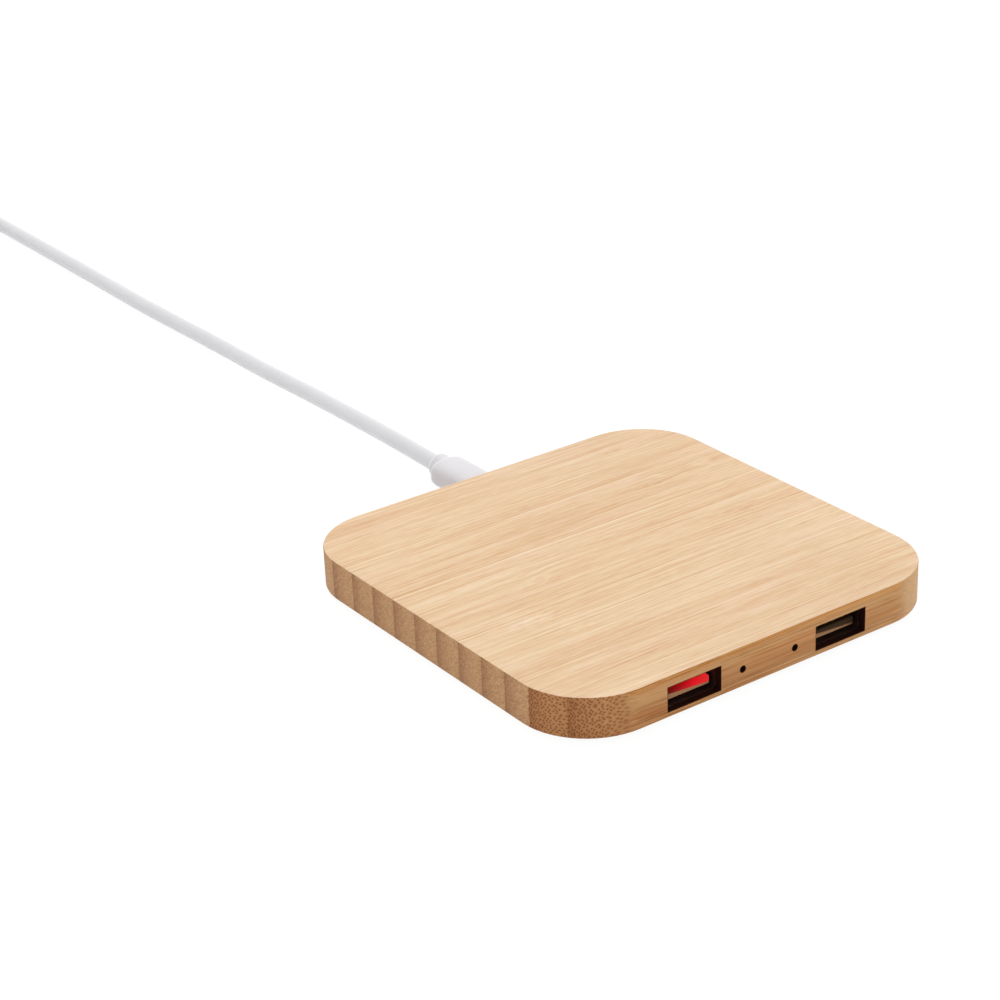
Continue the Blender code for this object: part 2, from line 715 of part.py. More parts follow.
def board_outline():
    """A bar across the front with a notch for each receptacle, and a stem back to the cable's socket."""
    half = BOARD_HALF
    radius = LAND_CORNER - BOARD_GAP
    centre = half - radius
    notch = USB_OUT_W / 2 + SEAT_GAP
    notch_rear = USB_REAR_Y + SEAT_GAP
    left_x, right_x = PORT_XS[0] - notch, PORT_XS[1] + notch
    left_turn = math.degrees(math.acos(min(0, (left_x + centre) / radius)))
    right_turn = math.degrees(math.acos(max(0, (right_x - centre) / radius)))
    points = arc(-centre, -centre, radius, 180, 360 - left_turn, CORNER_STEPS)
    for x in PORT_XS:
        edge = points[-1][1] if x == PORT_XS[0] else -half
        points += [(x - notch, edge), (x - notch, notch_rear), (x + notch, notch_rear)]
        if x == PORT_XS[0]:
            points.append((x + notch, -half))
    points += arc(centre, -centre, radius, 360 - right_turn, 360, CORNER_STEPS)
    stem_left, stem_right = PLUG_X - BOARD_STEM_HALF, PLUG_X + BOARD_STEM_HALF
    tab_left, tab_right = PLUG_X - BOARD_TAB_HALF, PLUG_X + BOARD_TAB_HALF
    tab_end = BAY_END - SEAT_GAP
    points += [
        (half, BOARD_BAR_REAR),
        (stem_right, BOARD_BAR_REAR),
        (stem_right, half),
        (tab_right, half),
        (tab_right, tab_end),
        (tab_left, tab_end),
        (tab_left, half),
        (stem_left, half),
        (stem_left, BOARD_BAR_REAR),
        (-half, BOARD_BAR_REAR),
    ]
    return points


def main_board():
    holes = [circle(x, y, BOARD_SHANK_R + SEAT_GAP) for x, y in board_screw_places()]
    slab("main_board", [board_outline(), *holes], BOARD_LOW, BOARD_TOP, BOARD_GREEN)


def board_screws():
    head = BOARD_TOP + SOLDER_GAP
    tip = BODY_LOW + COVER_T / 2 + SEAT_GAP
    profile = [
        (0, head + BOARD_HEAD_H),
        (BOARD_HEAD_R * DRIVE_SHARE, head + BOARD_HEAD_H),
        (BOARD_HEAD_R, head + BOARD_HEAD_H / 2),
        (BOARD_HEAD_R, head),
        (BOARD_SHANK_R, head),
        (BOARD_SHANK_R, tip),
        (0, tip),
    ]
    top = head + BOARD_HEAD_H
    for n, at in enumerate(board_screw_places(), 1):
        screw = turned(f"board_screw_{n}", profile, (*at, 0), STEEL, HOLE_STEPS)
        cut_drive(screw, BOARD_HEAD_R, top - DRIVE_DEPTH, top + CUT_OVER, at)


def lights():
    """Two lights behind the pin holes, and a red one beside the left receptacle."""
    low = BOARD_TOP + SOLDER_GAP
    high = 2 * PORT_Z - low
    front = -BOARD_HALF
    lens = (high - low) * LED_LENS_SHARE / 2
    outline = rounded(LED_W / 2, (high - low) / 2, LED_W / 8)
    for side, x in zip(("left", "right"), PIN_XS):
        middle = front + LED_D / 2
        light = prism(f"led_pin_{side}", [outline], LED_D, (x, middle, PORT_Z), LIGHT_CLEAR, axis="Y")
        join(light, rod(f"lens_{side}", lens, LED_D, (x, middle - LED_D / 4, PORT_Z), None, "Y"))
    x = PORT_XS[0] + USB_OUT_W / 2 + PORT_LIGHT_GAP + LED_D / 2
    middle = front + LED_W
    prism("led_port", [outline], LED_D, (x, middle, PORT_Z), LIGHT_RED, axis="X")


def board_pieces():
    low = BOARD_TOP + SOLDER_GAP
    chip = rounded(CHIP_SIDE / 2, CHIP_SIDE / 2, CHIP_H / 2)
    slab("charger_chip", [chip], low, low + CHIP_H, CHIP_BLACK, (PLUG_X, BOARD_HALF - CHIP_SET))
    hub = rounded(HUB_SIDE / 2, HUB_SIDE / 2, CHIP_H / 2)
    slab("port_chip", [hub], low, low + CHIP_H, CHIP_BLACK, (PORT_MIDDLE_X, HUB_SET - BOARD_HALF))
    core = rounded(INDUCTOR_SIDE / 2, INDUCTOR_SIDE / 2, INDUCTOR_CORNER)
    at = (PORT_MIDDLE_X, INDUCTOR_SET - BOARD_HALF)
    inductor = slab("inductor", [core], low, low + INDUCTOR_H, CHIP_BLACK, at, flatten=True)
    round_edges(inductor, INDUCTOR_CORNER / 4, 1)
    crystal = rounded(CRYSTAL_W / 2, CRYSTAL_D / 2, CRYSTAL_CORNER)
    at = (PORT_MIDDLE_X + CRYSTAL_X, HUB_SET - BOARD_HALF)
    slab("crystal", [crystal], low, low + CRYSTAL_H, STEEL, at)
    waist = CAPACITOR_R - CAPACITOR_FOOT / 2
    can = [
        (0, low + CAPACITOR_H),
        (waist, low + CAPACITOR_H),
        (CAPACITOR_R, low + CAPACITOR_H - CAPACITOR_FOOT / 2),
        (CAPACITOR_R, low + 2 * CAPACITOR_FOOT),
        (waist, low + 1.5 * CAPACITOR_FOOT),
        (CAPACITOR_R, low + CAPACITOR_FOOT),
        (CAPACITOR_R, low),
        (0, low),
    ]
    for n, share in enumerate(CAPACITOR_X_SHARES, 1):
        at = (share * BODY_HALF, USB_REAR_Y + CAPACITOR_SET, 0)
        turned(f"capacitor_{n}", can, at, ALUMINIUM, HOLE_STEPS)


def usb_a_receptacle(side, x, look):
    depth, middle = along_y(USB_MOUTH_Y, USB_REAR_Y)
    outer = rounded(USB_OUT_W / 2, USB_OUT_H / 2, USB_IN_CORNER + USB_WALL)
    inner = rounded(USB_IN_W / 2, USB_IN_H / 2, USB_IN_CORNER)
    shell = prism(f"usb_a_shell_{side}", [outer, inner], depth, (x, middle, PORT_Z), STEEL, axis="Y")
    tab_low = BOARD_TOP + SOLDER_GAP
    tab_y = USB_MOUTH_Y + TAB_SET
    for edge in SIDES:
        ends = sorted((x + edge * (USB_IN_W + USB_WALL) / 2, x + edge * (USB_OUT_W / 2 + TAB_REACH)))
        low, high = (ends[0], tab_y, tab_low), (ends[1], tab_y + TAB_LENGTH, tab_low + USB_WALL)
        join(shell, box(f"tab_{side}_{edge}", low, high, None))
    wide, thin = FINGER_W / 2 + FINGER_SLIT, FINGER_W / 2
    slit = [
        (-wide, 0),
        (wide, 0),
        (wide, FINGER_LENGTH),
        (thin, FINGER_LENGTH),
        (thin, FINGER_SLIT),
        (-thin, FINGER_SLIT),
        (-thin, FINGER_LENGTH),
        (-wide, FINGER_LENGTH),
    ]
    half = USB_OUT_H / 2 + CUT_OVER
    for edge in SIDES:
        at = (x + edge * USB_IN_W / 4, USB_MOUTH_Y + FINGER_SET)
        cut(shell, slab(f"slit_cut_{side}_{edge}", [slit], PORT_Z - half, PORT_Z + half, None, at))

    block_front = USB_REAR_Y - TONGUE_BLOCK
    block_x, block_z = USB_IN_W / 2 - SEAT_GAP, USB_IN_H / 2 - SEAT_GAP
    tongue = box(
        f"usb_a_tongue_{side}",
        (x - TONGUE_W / 2, TONGUE_Y, TONGUE_LOW),
        (x + TONGUE_W / 2, USB_REAR_Y - TONGUE_BLOCK / 2, TONGUE_TOP),
        look,
    )
    round_edges(tongue, TONGUE_EDGE, 1)
    block = box(
        f"tongue_block_{side}",
        (x - block_x, block_front, PORT_Z - block_z),
        (x + block_x, USB_REAR_Y, PORT_Z + block_z),
        None,
    )
    join(tongue, block)

    front = TONGUE_Y + CONTACT_SET
    low = TONGUE_TOP + SOLDER_GAP
    crest = low + CONTACT_RISE
    lead = CONTACT_SET
    strip = [
        (0, low),
        (lead / 2, low),
        (lead * 1.5, crest - CONTACT_T),
        (lead * 3, low),
        (CONTACT_LENGTH, low),
        (CONTACT_LENGTH, low + CONTACT_T),
        (lead * 3, low + CONTACT_T),
        (lead * 1.5, crest),
        (lead / 2, low + CONTACT_T),
        (0, low + CONTACT_T),
    ]
    for n, share in enumerate(CONTACT_X_SHARES, 1):
        at = (x + share * USB_IN_W, front, 0)
        prism(f"usb_a_contact_{side}_{n}", [strip], CONTACT_W, at, GOLD, axis="X")


def micro_usb_socket():
    rear = SOCKET_MOUTH_Y - SOCKET_LENGTH
    depth, middle = along_y(rear, SOCKET_MOUTH_Y)
    outer = plug_section(SOCKET_W, SOCKET_H, TIP_CHAMFER)
    grown = 2 * FIT_GAP
    inner = plug_section(TIP_W + grown, TIP_H + grown, TIP_CHAMFER)
    shell = prism("micro_usb_shell", [outer, inner], depth, (PLUG_X, middle, PLUG_Z), STEEL, axis="Y")
    ear_low = BOARD_TOP + SOLDER_GAP
    for edge in SIDES:
        inside, outside = SOCKET_W / 2 - TIP_CHAMFER, SOCKET_W / 2 + EAR_W
        ends = sorted((PLUG_X + edge * inside, PLUG_X + edge * outside))
        low = (ends[0], rear + EAR_LENGTH / 2, ear_low)
        high = (ends[1], rear + 1.5 * EAR_LENGTH, PLUG_Z - SOCKET_H / 2 + SOCKET_WALL / 2)
        join(shell, box(f"ear_{edge}", low, high, None))

    block_end = TIP_END_Y - SEAT_GAP
    block_start = block_end - SOCKET_BLOCK
    depth, middle = along_y(block_start, block_end)
    block = plug_section(TIP_W, TIP_H, TIP_CHAMFER)
    tongue = prism("micro_usb_tongue", [block], depth, (PLUG_X, middle, PLUG_Z), CHIP_BLACK, axis="Y")
    half_x, half_z = SOCKET_TONGUE_W / 2, SOCKET_TONGUE_T / 2
    low = (PLUG_X - half_x, middle, PLUG_Z - half_z)
    high = (PLUG_X + half_x, block_end + SOCKET_TONGUE_LENGTH, PLUG_Z + half_z)
    join(tongue, box("socket_tongue", low, high, None))


# Transmit coil


def winding_points():
    """Up from the board, round the flat spiral from its inner turn, and down to the board again."""
    end = BOARD_TOP + SEAT_GAP
    bend_z = WIRE_Z - WIRE_BEND
    points = [(WIRE_INNER, -WIRE_BEND, end)]
    for y, z in arc(0, bend_z, WIRE_BEND, 180, 90, SMALL_STEPS):
        points.append((WIRE_INNER, y, z))
    count = round(WIRE_TURNS * LOOP_POINTS)
    for i in range(1, count + 1):
        turn = 2 * math.pi * i / LOOP_POINTS
        radius = WIRE_INNER + WIRE_PITCH * i / LOOP_POINTS
        points.append((radius * math.cos(turn), radius * math.sin(turn), WIRE_Z))
    for x, z in arc(0, bend_z, WIRE_BEND, 90, 0, SMALL_STEPS)[1:]:
        points.append((x, -WIRE_OUTER, z))
    points.append((WIRE_BEND, -WIRE_OUTER, end))
    return points


def least_gap(points, thickness):
    """The narrowest space between stretches of a tube that aren't neighbours along it."""
    line = np.array(points, float)
    along = np.concatenate([[0], np.cumsum(np.linalg.norm(np.diff(line, axis=0), axis=1))])
    apart = np.linalg.norm(line[:, None] - line[None], axis=2)
    far = np.abs(along[:, None] - along[None]) > math.pi * thickness
    return float(apart[far].min() - thickness)


def transmit_coil():
    points = winding_points()
    tube("transmit_coil", points, WIRE_R, 1, COPPER, PAD)
    print(f"transmit_coil: least gap {least_gap(points, 2 * WIRE_R):.5f}")
    tape = [circle(0, 0, FERRITE_R, 2 * ROUND_STEPS), circle(0, 0, TAPE_HOLE, ROUND_STEPS)]
    slab("coil_tape", tape, TAPE_TOP - TAPE_T, TAPE_TOP, TAPE)
    lead_hole = circle(WIRE_INNER, -WIRE_BEND, 2 * WIRE_R, HOLE_STEPS)
    sheet = [circle(0, 0, FERRITE_R, 2 * ROUND_STEPS), lead_hole]
    slab("ferrite_sheet", sheet, FERRITE_TOP - FERRITE_T, FERRITE_TOP, FERRITE)


# Cable


def shoulder(start, length, wide, high, rear_wide, rear_high, square, rear_square):
    """Sections that draw a body in along a quarter of an ellipse."""
    sections = []
    for i in range(SHOULDER_STEPS + 1):
        turn = math.pi / 2 * i / SHOULDER_STEPS
        kept = math.cos(turn)
        share = i / SHOULDER_STEPS
        half_x = (rear_wide + (wide - rear_wide) * kept) / 2
        half_z = (rear_high + (high - rear_high) * kept) / 2
        sections.append((start + length * math.sin(turn), half_x, half_z, square + (rear_square - square) * share))
    return sections


def micro_usb_plug():
    body_square, rear_square, end_square = 4.4, 3, 2
    front_x, front_z = GRIP_W / 2 - GRIP_EDGE, GRIP_H / 2 - GRIP_EDGE
    rim = COLLAR_R - COLLAR_EDGE
    collar_end = GRIP_LENGTH + COLLAR_LENGTH
    sections = [
        (0, front_x, front_z, body_square),
        (GRIP_EDGE, GRIP_W / 2, GRIP_H / 2, body_square),
        *shoulder(
            GRIP_LENGTH - GRIP_SHOULDER,
            GRIP_SHOULDER,
            GRIP_W,
            GRIP_H,
            GRIP_REAR_W,
            GRIP_REAR_H,
            body_square,
            rear_square,
        ),
        (GRIP_LENGTH + COLLAR_STEP, COLLAR_R, COLLAR_R, end_square),
        (collar_end - COLLAR_EDGE, COLLAR_R, COLLAR_R, end_square),
        (collar_end - COLLAR_EDGE / 3, COLLAR_R - COLLAR_EDGE / 3, COLLAR_R - COLLAR_EDGE / 3, end_square),
        (collar_end, rim, rim, end_square),
    ]
    grip = loft("plug_overmould", sections, (PLUG_X, GRIP_Y, PLUG_Z), WHITE_TPE, CABLE)
    grown = 2 * FIT_GAP
    root = plug_section(TIP_W + grown, TIP_H + grown, TIP_CHAMFER)
    depth, middle = along_y(GRIP_Y - CUT_OVER, GRIP_Y + TIP_ROOT + SEAT_GAP)
    cut(grip, prism("tip_root_cut", [root], depth, (PLUG_X, middle, PLUG_Z), None, axis="Y"))

    depth, middle = along_y(TIP_END_Y, GRIP_Y + TIP_ROOT)
    outer = plug_section(TIP_W, TIP_H, TIP_CHAMFER)
    shrunk = 2 * TIP_WALL
    inner = plug_section(TIP_W - shrunk, TIP_H - shrunk, TIP_CHAMFER)
    prism("plug_tip", [outer, inner], depth, (PLUG_X, middle, PLUG_Z), STEEL, CABLE, "Y")

    loose = shrunk + 2 * FIT_GAP
    insert = plug_section(TIP_W - loose, TIP_H - loose, TIP_CHAMFER)
    depth, middle = along_y(GRIP_Y + TIP_ROOT - INSERT_LENGTH, GRIP_Y + TIP_ROOT)
    prism("plug_insert", [insert], depth, (PLUG_X, middle, PLUG_Z), CHIP_BLACK, CABLE, "Y")


def evenly(points, step):
    """The same line with its points about a step apart."""
    line = np.array(points, float)
    along = np.concatenate([[0], np.cumsum(np.linalg.norm(np.diff(line, axis=0), axis=1))])
    wanted = np.linspace(0, along[-1], round(along[-1] / step) + 1)
    return np.stack([np.interp(wanted, along, line[:, k]) for k in range(3)], axis=1)


def smooth_line(route, step):
    """Points along a smooth curve through all the route's points."""
    knots = [Vector(p) for p in route]
    knots = [2 * knots[0] - knots[1], *knots, 2 * knots[-1] - knots[-2]]
    dense = []
    for a, b, c, d in zip(knots, knots[1:], knots[2:], knots[3:]):
        for i in range(FINE_STEPS):
            t = i / FINE_STEPS
            bend = 2 * a - 5 * b + 4 * c - d
            twist = 3 * b - a - 3 * c + d
            dense.append((2 * b + (c - a) * t + bend * t**2 + twist * t**3) / 2)
    dense.append(knots[-2])
    return evenly(dense, step)


def length_of(points):
    return float(np.linalg.norm(np.diff(np.array(points, float), axis=0), axis=1).sum())


def coil_points(laid_out):
    """Two flat layers, in and out again, with a tail down to the far plug that uses up the cord."""
    total = 2 * COIL_TURNS + CLIMB_TURNS
    start_x, start_y = COIL_CENTRE.x + COIL_OUTER, COIL_CENTRE.y - COIL_LEAD
    points = [(start_x, start_y, COIL_LOW)]
    for i in range(round(total * LOOP_POINTS) + 1):
        turn = i / LOOP_POINTS
        climbed = min(1, max(0, (turn - COIL_TURNS) / CLIMB_TURNS))
        level = (1 - math.cos(math.pi * climbed)) / 2
        radius = COIL_OUTER - COIL_PITCH * min(turn, total - turn)
        degrees = 360 * turn % 360
        from_tie = min(1, abs(degrees - 90) / TIE_SPREAD)
        rise = (TIE_T + SEAT_GAP) * math.cos(math.pi / 2 * from_tie) ** 2
        x = COIL_CENTRE.x + radius * math.cos(math.radians(degrees))
        y = COIL_CENTRE.y + radius * math.sin(math.radians(degrees))
        points.append((x, y, COIL_LOW + level * COIL_LAYER + rise))
    end_x, end_y, end_z = points[-1]
    tail = CORD_LENGTH - laid_out - length_of(points)
    drop = tail - TAIL_END
    for i in range(1, SHOULDER_STEPS + 1):
        share = i / SHOULDER_STEPS
        fallen = (1 - math.cos(math.pi * share)) / 2
        points.append((end_x, end_y - drop * share, end_z + (FAR_Z - end_z) * fallen))
    points.append((end_x, end_y - tail, FAR_Z))
    return points


def cord():
    laid_out = smooth_line(CORD_ROUTE, CORD_STEP)
    tube("cord", laid_out, CORD_R, 2, WHITE_TPE, CABLE)
    turns = coil_points(length_of(laid_out))
    tube("cord_coil", turns, CORD_R, 1, WHITE_TPE, CABLE)
    print(f"cord_coil: least gap {least_gap(turns, 2 * CORD_R):.5f}")
    return turns[-1]


def cable_tie():
    """A strap round the bundle of turns, at the coil's far side."""
    half_y = COIL_PITCH + CORD_R + 2 * SEAT_GAP
    half_z = COIL_LAYER / 2 + CORD_R + SEAT_GAP
    outer = rounded(half_y + TIE_T, half_z + TIE_T, CORD_R + TIE_T)
    inner = rounded(half_y, half_z, CORD_R)
    middle_y = COIL_CENTRE.y + COIL_OUTER - COIL_PITCH * COIL_TURNS / 2
    at = (COIL_CENTRE.x, middle_y, FLOOR_LIFT + TIE_T + half_z)
    prism("cable_tie", [outer, inner], TIE_W, at, WHITE_GLOSS, CABLE, "X")


def usb_a_plug(cord_end):
    body_square, end_square = 6, 2
    x, end_y, _ = cord_end
    ribs = []
    relief = RELIEF_RIBS * 2 * RELIEF_STEP
    for i in range(RELIEF_RIBS):
        start = FAR_LENGTH + 2 * i * RELIEF_STEP
        radius = RELIEF_R + (RELIEF_END_R - RELIEF_R) * i / RELIEF_RIBS
        for place_share, depth in ((0.1, 0), (0.9, 0), (1.1, RELIEF_GROOVE), (1.9, RELIEF_GROOVE)):
            ribs.append((start + place_share * RELIEF_STEP, radius - depth, radius - depth, end_square))
    ribs[-1] = (FAR_LENGTH + relief, ribs[-1][1], ribs[-1][2], end_square)
    front_x, front_z = FAR_W / 2 - FAR_EDGE, FAR_H / 2 - FAR_EDGE
    sections = [
        (0, front_x, front_z, body_square),
        (FAR_EDGE, FAR_W / 2, FAR_H / 2, body_square),
        *shoulder(
            FAR_LENGTH - FAR_SHOULDER, FAR_SHOULDER, FAR_W, FAR_H, FAR_REAR_W, FAR_REAR_H, body_square, end_square
        ),
        *ribs,
    ]
    face_y = end_y - SEAT_GAP - FAR_LENGTH - relief
    grip = loft("usb_a_plug_overmould", sections, (x, face_y, FAR_Z), WHITE_TPE, CABLE)
    root = rounded(FAR_SHELL_W / 2 + FIT_GAP, FAR_SHELL_H / 2 + FIT_GAP, FAR_SHELL_CORNER)
    depth, middle = along_y(face_y - CUT_OVER, face_y + FAR_SHELL_ROOT + SEAT_GAP)
    cut(grip, prism("far_root_cut", [root], depth, (x, middle, FAR_Z), None, axis="Y"))

    depth, middle = along_y(face_y - FAR_SHELL_REACH, face_y + FAR_SHELL_ROOT)
    outer = rounded(FAR_SHELL_W / 2, FAR_SHELL_H / 2, FAR_SHELL_CORNER)
    in_x, in_z = FAR_SHELL_W / 2 - FAR_SHELL_WALL, FAR_SHELL_H / 2 - FAR_SHELL_WALL
    inner = rounded(in_x, in_z, FAR_SHELL_CORNER - FAR_SHELL_WALL)
    shell = prism("usb_a_plug_shell", [outer, inner], depth, (x, middle, FAR_Z), STEEL, CABLE, "Y")
    for edge in SIDES:
        near = face_y - FAR_SHELL_REACH + FAR_WINDOW_SET
        middle_x = x + edge * FAR_WINDOW_X
        low = (middle_x - FAR_WINDOW_W / 2, near, FAR_Z - FAR_SHELL_H)
        high = (middle_x + FAR_WINDOW_W / 2, near + FAR_WINDOW_L, FAR_Z + FAR_SHELL_H)
        cut(shell, box(f"window_cut_{edge}", low, high, None))

    low = (x - in_x + FIT_GAP, face_y - FAR_SHELL_REACH + FAR_INSERT_SET, FAR_Z - in_z + FIT_GAP)
    high = (x + in_x - FIT_GAP, face_y + FAR_SHELL_ROOT, FAR_Z - in_z + FIT_GAP + FAR_INSERT_T)
    box("usb_a_plug_insert", low, high, WHITE_GLOSS, CABLE)


bamboo_body()
base_cover()
rubber_feet()
cover_screws()
main_board()
board_screws()
lights()
board_pieces()
usb_a_receptacle("left", PORT_XS[0], PORT_RED)
usb_a_receptacle("right", PORT_XS[1], PORT_BLACK)
micro_usb_socket()
transmit_coil()
micro_usb_plug()
CORD_END = cord()
cable_tie()
usb_a_plug(CORD_END)
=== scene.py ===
"""The looks of a bamboo wireless charging pad and its white cable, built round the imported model.

The pad's middle is at x = y = 0, its ports face -Y, its feet stand on z = 0 and the cable leaves along +Y. Places are
in metres in that frame, apart from the plug's rings and the materials, which are in millimetres.
"""

import math

import bmesh
import bpy
from mathutils import Matrix, Vector


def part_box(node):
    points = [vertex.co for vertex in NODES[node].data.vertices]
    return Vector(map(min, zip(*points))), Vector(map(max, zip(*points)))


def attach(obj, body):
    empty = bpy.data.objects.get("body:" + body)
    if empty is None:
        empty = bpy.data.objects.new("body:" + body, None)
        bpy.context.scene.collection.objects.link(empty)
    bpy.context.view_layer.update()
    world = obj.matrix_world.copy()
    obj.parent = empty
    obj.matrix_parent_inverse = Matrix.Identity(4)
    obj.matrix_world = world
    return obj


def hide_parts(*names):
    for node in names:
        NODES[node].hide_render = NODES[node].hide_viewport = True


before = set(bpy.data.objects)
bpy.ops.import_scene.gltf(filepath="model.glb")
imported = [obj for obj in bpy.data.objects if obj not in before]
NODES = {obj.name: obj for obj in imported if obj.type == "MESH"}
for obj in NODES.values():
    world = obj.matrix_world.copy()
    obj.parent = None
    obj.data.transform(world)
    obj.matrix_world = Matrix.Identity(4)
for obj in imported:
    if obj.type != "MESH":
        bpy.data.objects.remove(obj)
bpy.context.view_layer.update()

MM = 0.001

# Camera, as turned, raised and rolled about a point of the pad
PAD_SIDE = 0.095
CAMERA_AZIMUTH = math.radians(-34.809)
CAMERA_ELEVATION = math.radians(25.32936)
CAMERA_ROLL = math.radians(-2.38639)
CAMERA_DISTANCE = 5.70429 * PAD_SIDE
CAMERA_TARGET = Vector((0.06319 * PAD_SIDE, 0.51822 * PAD_SIDE, 0.0008))
CAMERA_LENS = 88.1909
CAMERA_SENSOR = 36


def stand(name, data):
    """A new object in the scene."""
    obj = bpy.data.objects.new(name, data)
    bpy.context.scene.collection.objects.link(obj)
    return obj


def camera():
    data = bpy.data.cameras.new("camera")
    data.lens = CAMERA_LENS
    data.sensor_width = CAMERA_SENSOR
    obj = stand("camera", data)
    level = math.cos(CAMERA_ELEVATION)
    back = Vector((math.sin(CAMERA_AZIMUTH) * level, -math.cos(CAMERA_AZIMUTH) * level, math.sin(CAMERA_ELEVATION)))
    right = Vector((math.cos(CAMERA_AZIMUTH), math.sin(CAMERA_AZIMUTH), 0))
    turn = Matrix((right, back.cross(right), back)).transposed()
    turn = turn @ Matrix.Rotation(CAMERA_ROLL, 3, "Z")
    obj.matrix_world = Matrix.Translation(CAMERA_TARGET + back * CAMERA_DISTANCE) @ turn.to_4x4()
    bpy.context.scene.camera = obj


# Cord: the route's points are the same as in the part's source
CORD_ROUTE = (
    (0.00105, 0.0659, 0.0051),
    (0.00105, 0.0720, 0.0051),
    (0.0012, 0.0780, 0.0051),
    (0.0014, 0.0870, 0.00497),
    (0.0017, 0.0990, 0.00465),
    (0.0020, 0.1150, 0.0042),
    (0.0021, 0.1300, 0.00375),
    (0.0022, 0.1440, 0.0033),
    (0.0026, 0.1600, 0.00285),
    (0.0029, 0.1755, 0.00245),
    (0.0029, 0.1920, 0.00215),
    (0.0028, 0.2080, 0.0020),
    (0.0029, 0.2250, 0.0020),
    (0.0030, 0.2433, 0.0020),
    (0.0030, 0.2620, 0.0020),
    (0.0030, 0.2810, 0.0020),
    (0.0030, 0.2960, 0.0020),
    (0.0030, 0.3112, 0.0020),
)
ROUTE_STEPS = 10  # points from each of these to the next
CORD_R = 0.0019
CORD_BEVEL = 6
SEAT_GAP = 0.0003

# The cord's coil, with its outer radius at the middle of the cord
COIL_OUTER = 0.0267
COIL_PITCH = 0.0043
COIL_LAYER = 0.0043
COIL_LOW = 0.0020
COIL_TURNS = 2.5  # in each of its two layers
CLIMB_TURNS = 0.5
COIL_LEAD = 0.0042
COIL_STEPS = 60  # points in each turn
TIE_T = 0.0006
TIE_AT = 90  # degrees round the coil
TIE_SPREAD = 40  # degrees to each side of the tie over which the cord rises
TAIL_END = 0.0058  # the tail's last, level stretch
TAIL_STEPS = 14


def smooth_line(route, steps):
    """Points on a smooth curve through all the route's points."""
    knots = [Vector(p) for p in route]
    knots = [2 * knots[0] - knots[1], *knots, 2 * knots[-1] - knots[-2]]
    points = []
    for a, b, c, d in zip(knots, knots[1:], knots[2:], knots[3:]):
        bend, twist = 2 * a - 5 * b + 4 * c - d, 3 * b - a - 3 * c + d
        for i in range(steps):
            t = i / steps
            points.append((2 * b + (c - a) * t + bend * t**2 + twist * t**3) / 2)
    return [*points, knots[-2]]


def eased(share):
    """From 0 to 1, slowly at both ends."""
    return (1 - math.cos(math.pi * share)) / 2


def coil_points():
    """Two flat layers, in and out again, rising where the tie goes under them."""
    middle = Vector((CORD_ROUTE[-1][0] - COIL_OUTER, CORD_ROUTE[-1][1] + SEAT_GAP + COIL_LEAD, 0))
    total = 2 * COIL_TURNS + CLIMB_TURNS
    points = []
    for i in range(round(total * COIL_STEPS) + 1):
        turn = i / COIL_STEPS
        level = eased(min(1, max(0, (turn - COIL_TURNS) / CLIMB_TURNS)))
        radius = COIL_OUTER - COIL_PITCH * min(turn, total - turn)
        degrees = 360 * turn % 360
        from_tie = min(1, abs(degrees - TIE_AT) / TIE_SPREAD)
        rise = (TIE_T + SEAT_GAP) * math.cos(math.pi / 2 * from_tie) ** 2
        angle = math.radians(degrees)
        along = Vector((math.cos(angle), math.sin(angle), 0)) * radius
        points.append(middle + along + Vector((0, 0, COIL_LOW + level * COIL_LAYER + rise)))
    return points


def tail_points(start):
    """Down from the coil's end to the far plug, along -Y."""
    low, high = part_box("usb_a_plug_overmould")
    end = Vector((start.x, high.y + SEAT_GAP, (low.z + high.z) / 2))
    drop = start.y - end.y - TAIL_END
    points = []
    for i in range(1, TAIL_STEPS + 1):
        share = i / TAIL_STEPS
        points.append(Vector((start.x, start.y - drop * share, start.z + (end.z - start.z) * eased(share))))
    return [*points, end]


def cord(look, grip):
    """The cable from the plug's collar to the far plug, as one smooth line."""
    points = smooth_line(CORD_ROUTE, ROUTE_STEPS) + coil_points()
    points += tail_points(points[-1])
    curve = bpy.data.curves.new("cable_cord", "CURVE")
    curve.dimensions = "3D"
    curve.bevel_depth = CORD_R
    curve.bevel_resolution = CORD_BEVEL
    curve.use_fill_caps = True
    spline = curve.splines.new("POLY")
    spline.points.add(len(points) - 1)
    for point, place in zip(spline.points, points):
        point.co = (*place, 1)
    spline.use_smooth = True
    curve.materials.append(look)
    obj = stand("cable_cord", curve)
    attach(obj, "cable")
    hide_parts("cord", "cord_coil")


# Plug: a skin over rings, each (place along Y, half width, half height, squareness), in millimetres
GRIP_AT = (0.00105, 0.0479, 0.0051)  # the middle of its front, in metres
GRIP_POINTS = 64
GRIP_LENGTH = 14.8
GRIP_HALF_W = 4.25
GRIP_HALF_H = 2.85
GRIP_FRONT_EDGE = 0.4
GRIP_SHOULDER = 1.3
GRIP_SINK = 0.14  # how far the shoulder falls at the top
SIDE_SINK = 6  # how many times less it falls at the sides
GRIP_REAR_EDGE = 0.18
ROUND = 2  # the squareness of a circle
GRIP_SQUARE = 3.2
GRIP_REAR_SQUARE = 2.7
GRIP_UNDER = 1.5  # how many times squarer the overmould's lower half is
COLLAR_R = 2.8
COLLAR_START_R = 2.5
COLLAR_SWELL = 0.6
COLLAR_LENGTH = 2.9
COLLAR_EDGE = 0.25
COLLAR_MOUTH_R = 2.3
LIP_LENGTH = 0.5
LIP_R = 1.93
EDGE_STEPS = 4
GRIP_CRISP = math.radians(40)  # edges sharper than this stay crisp


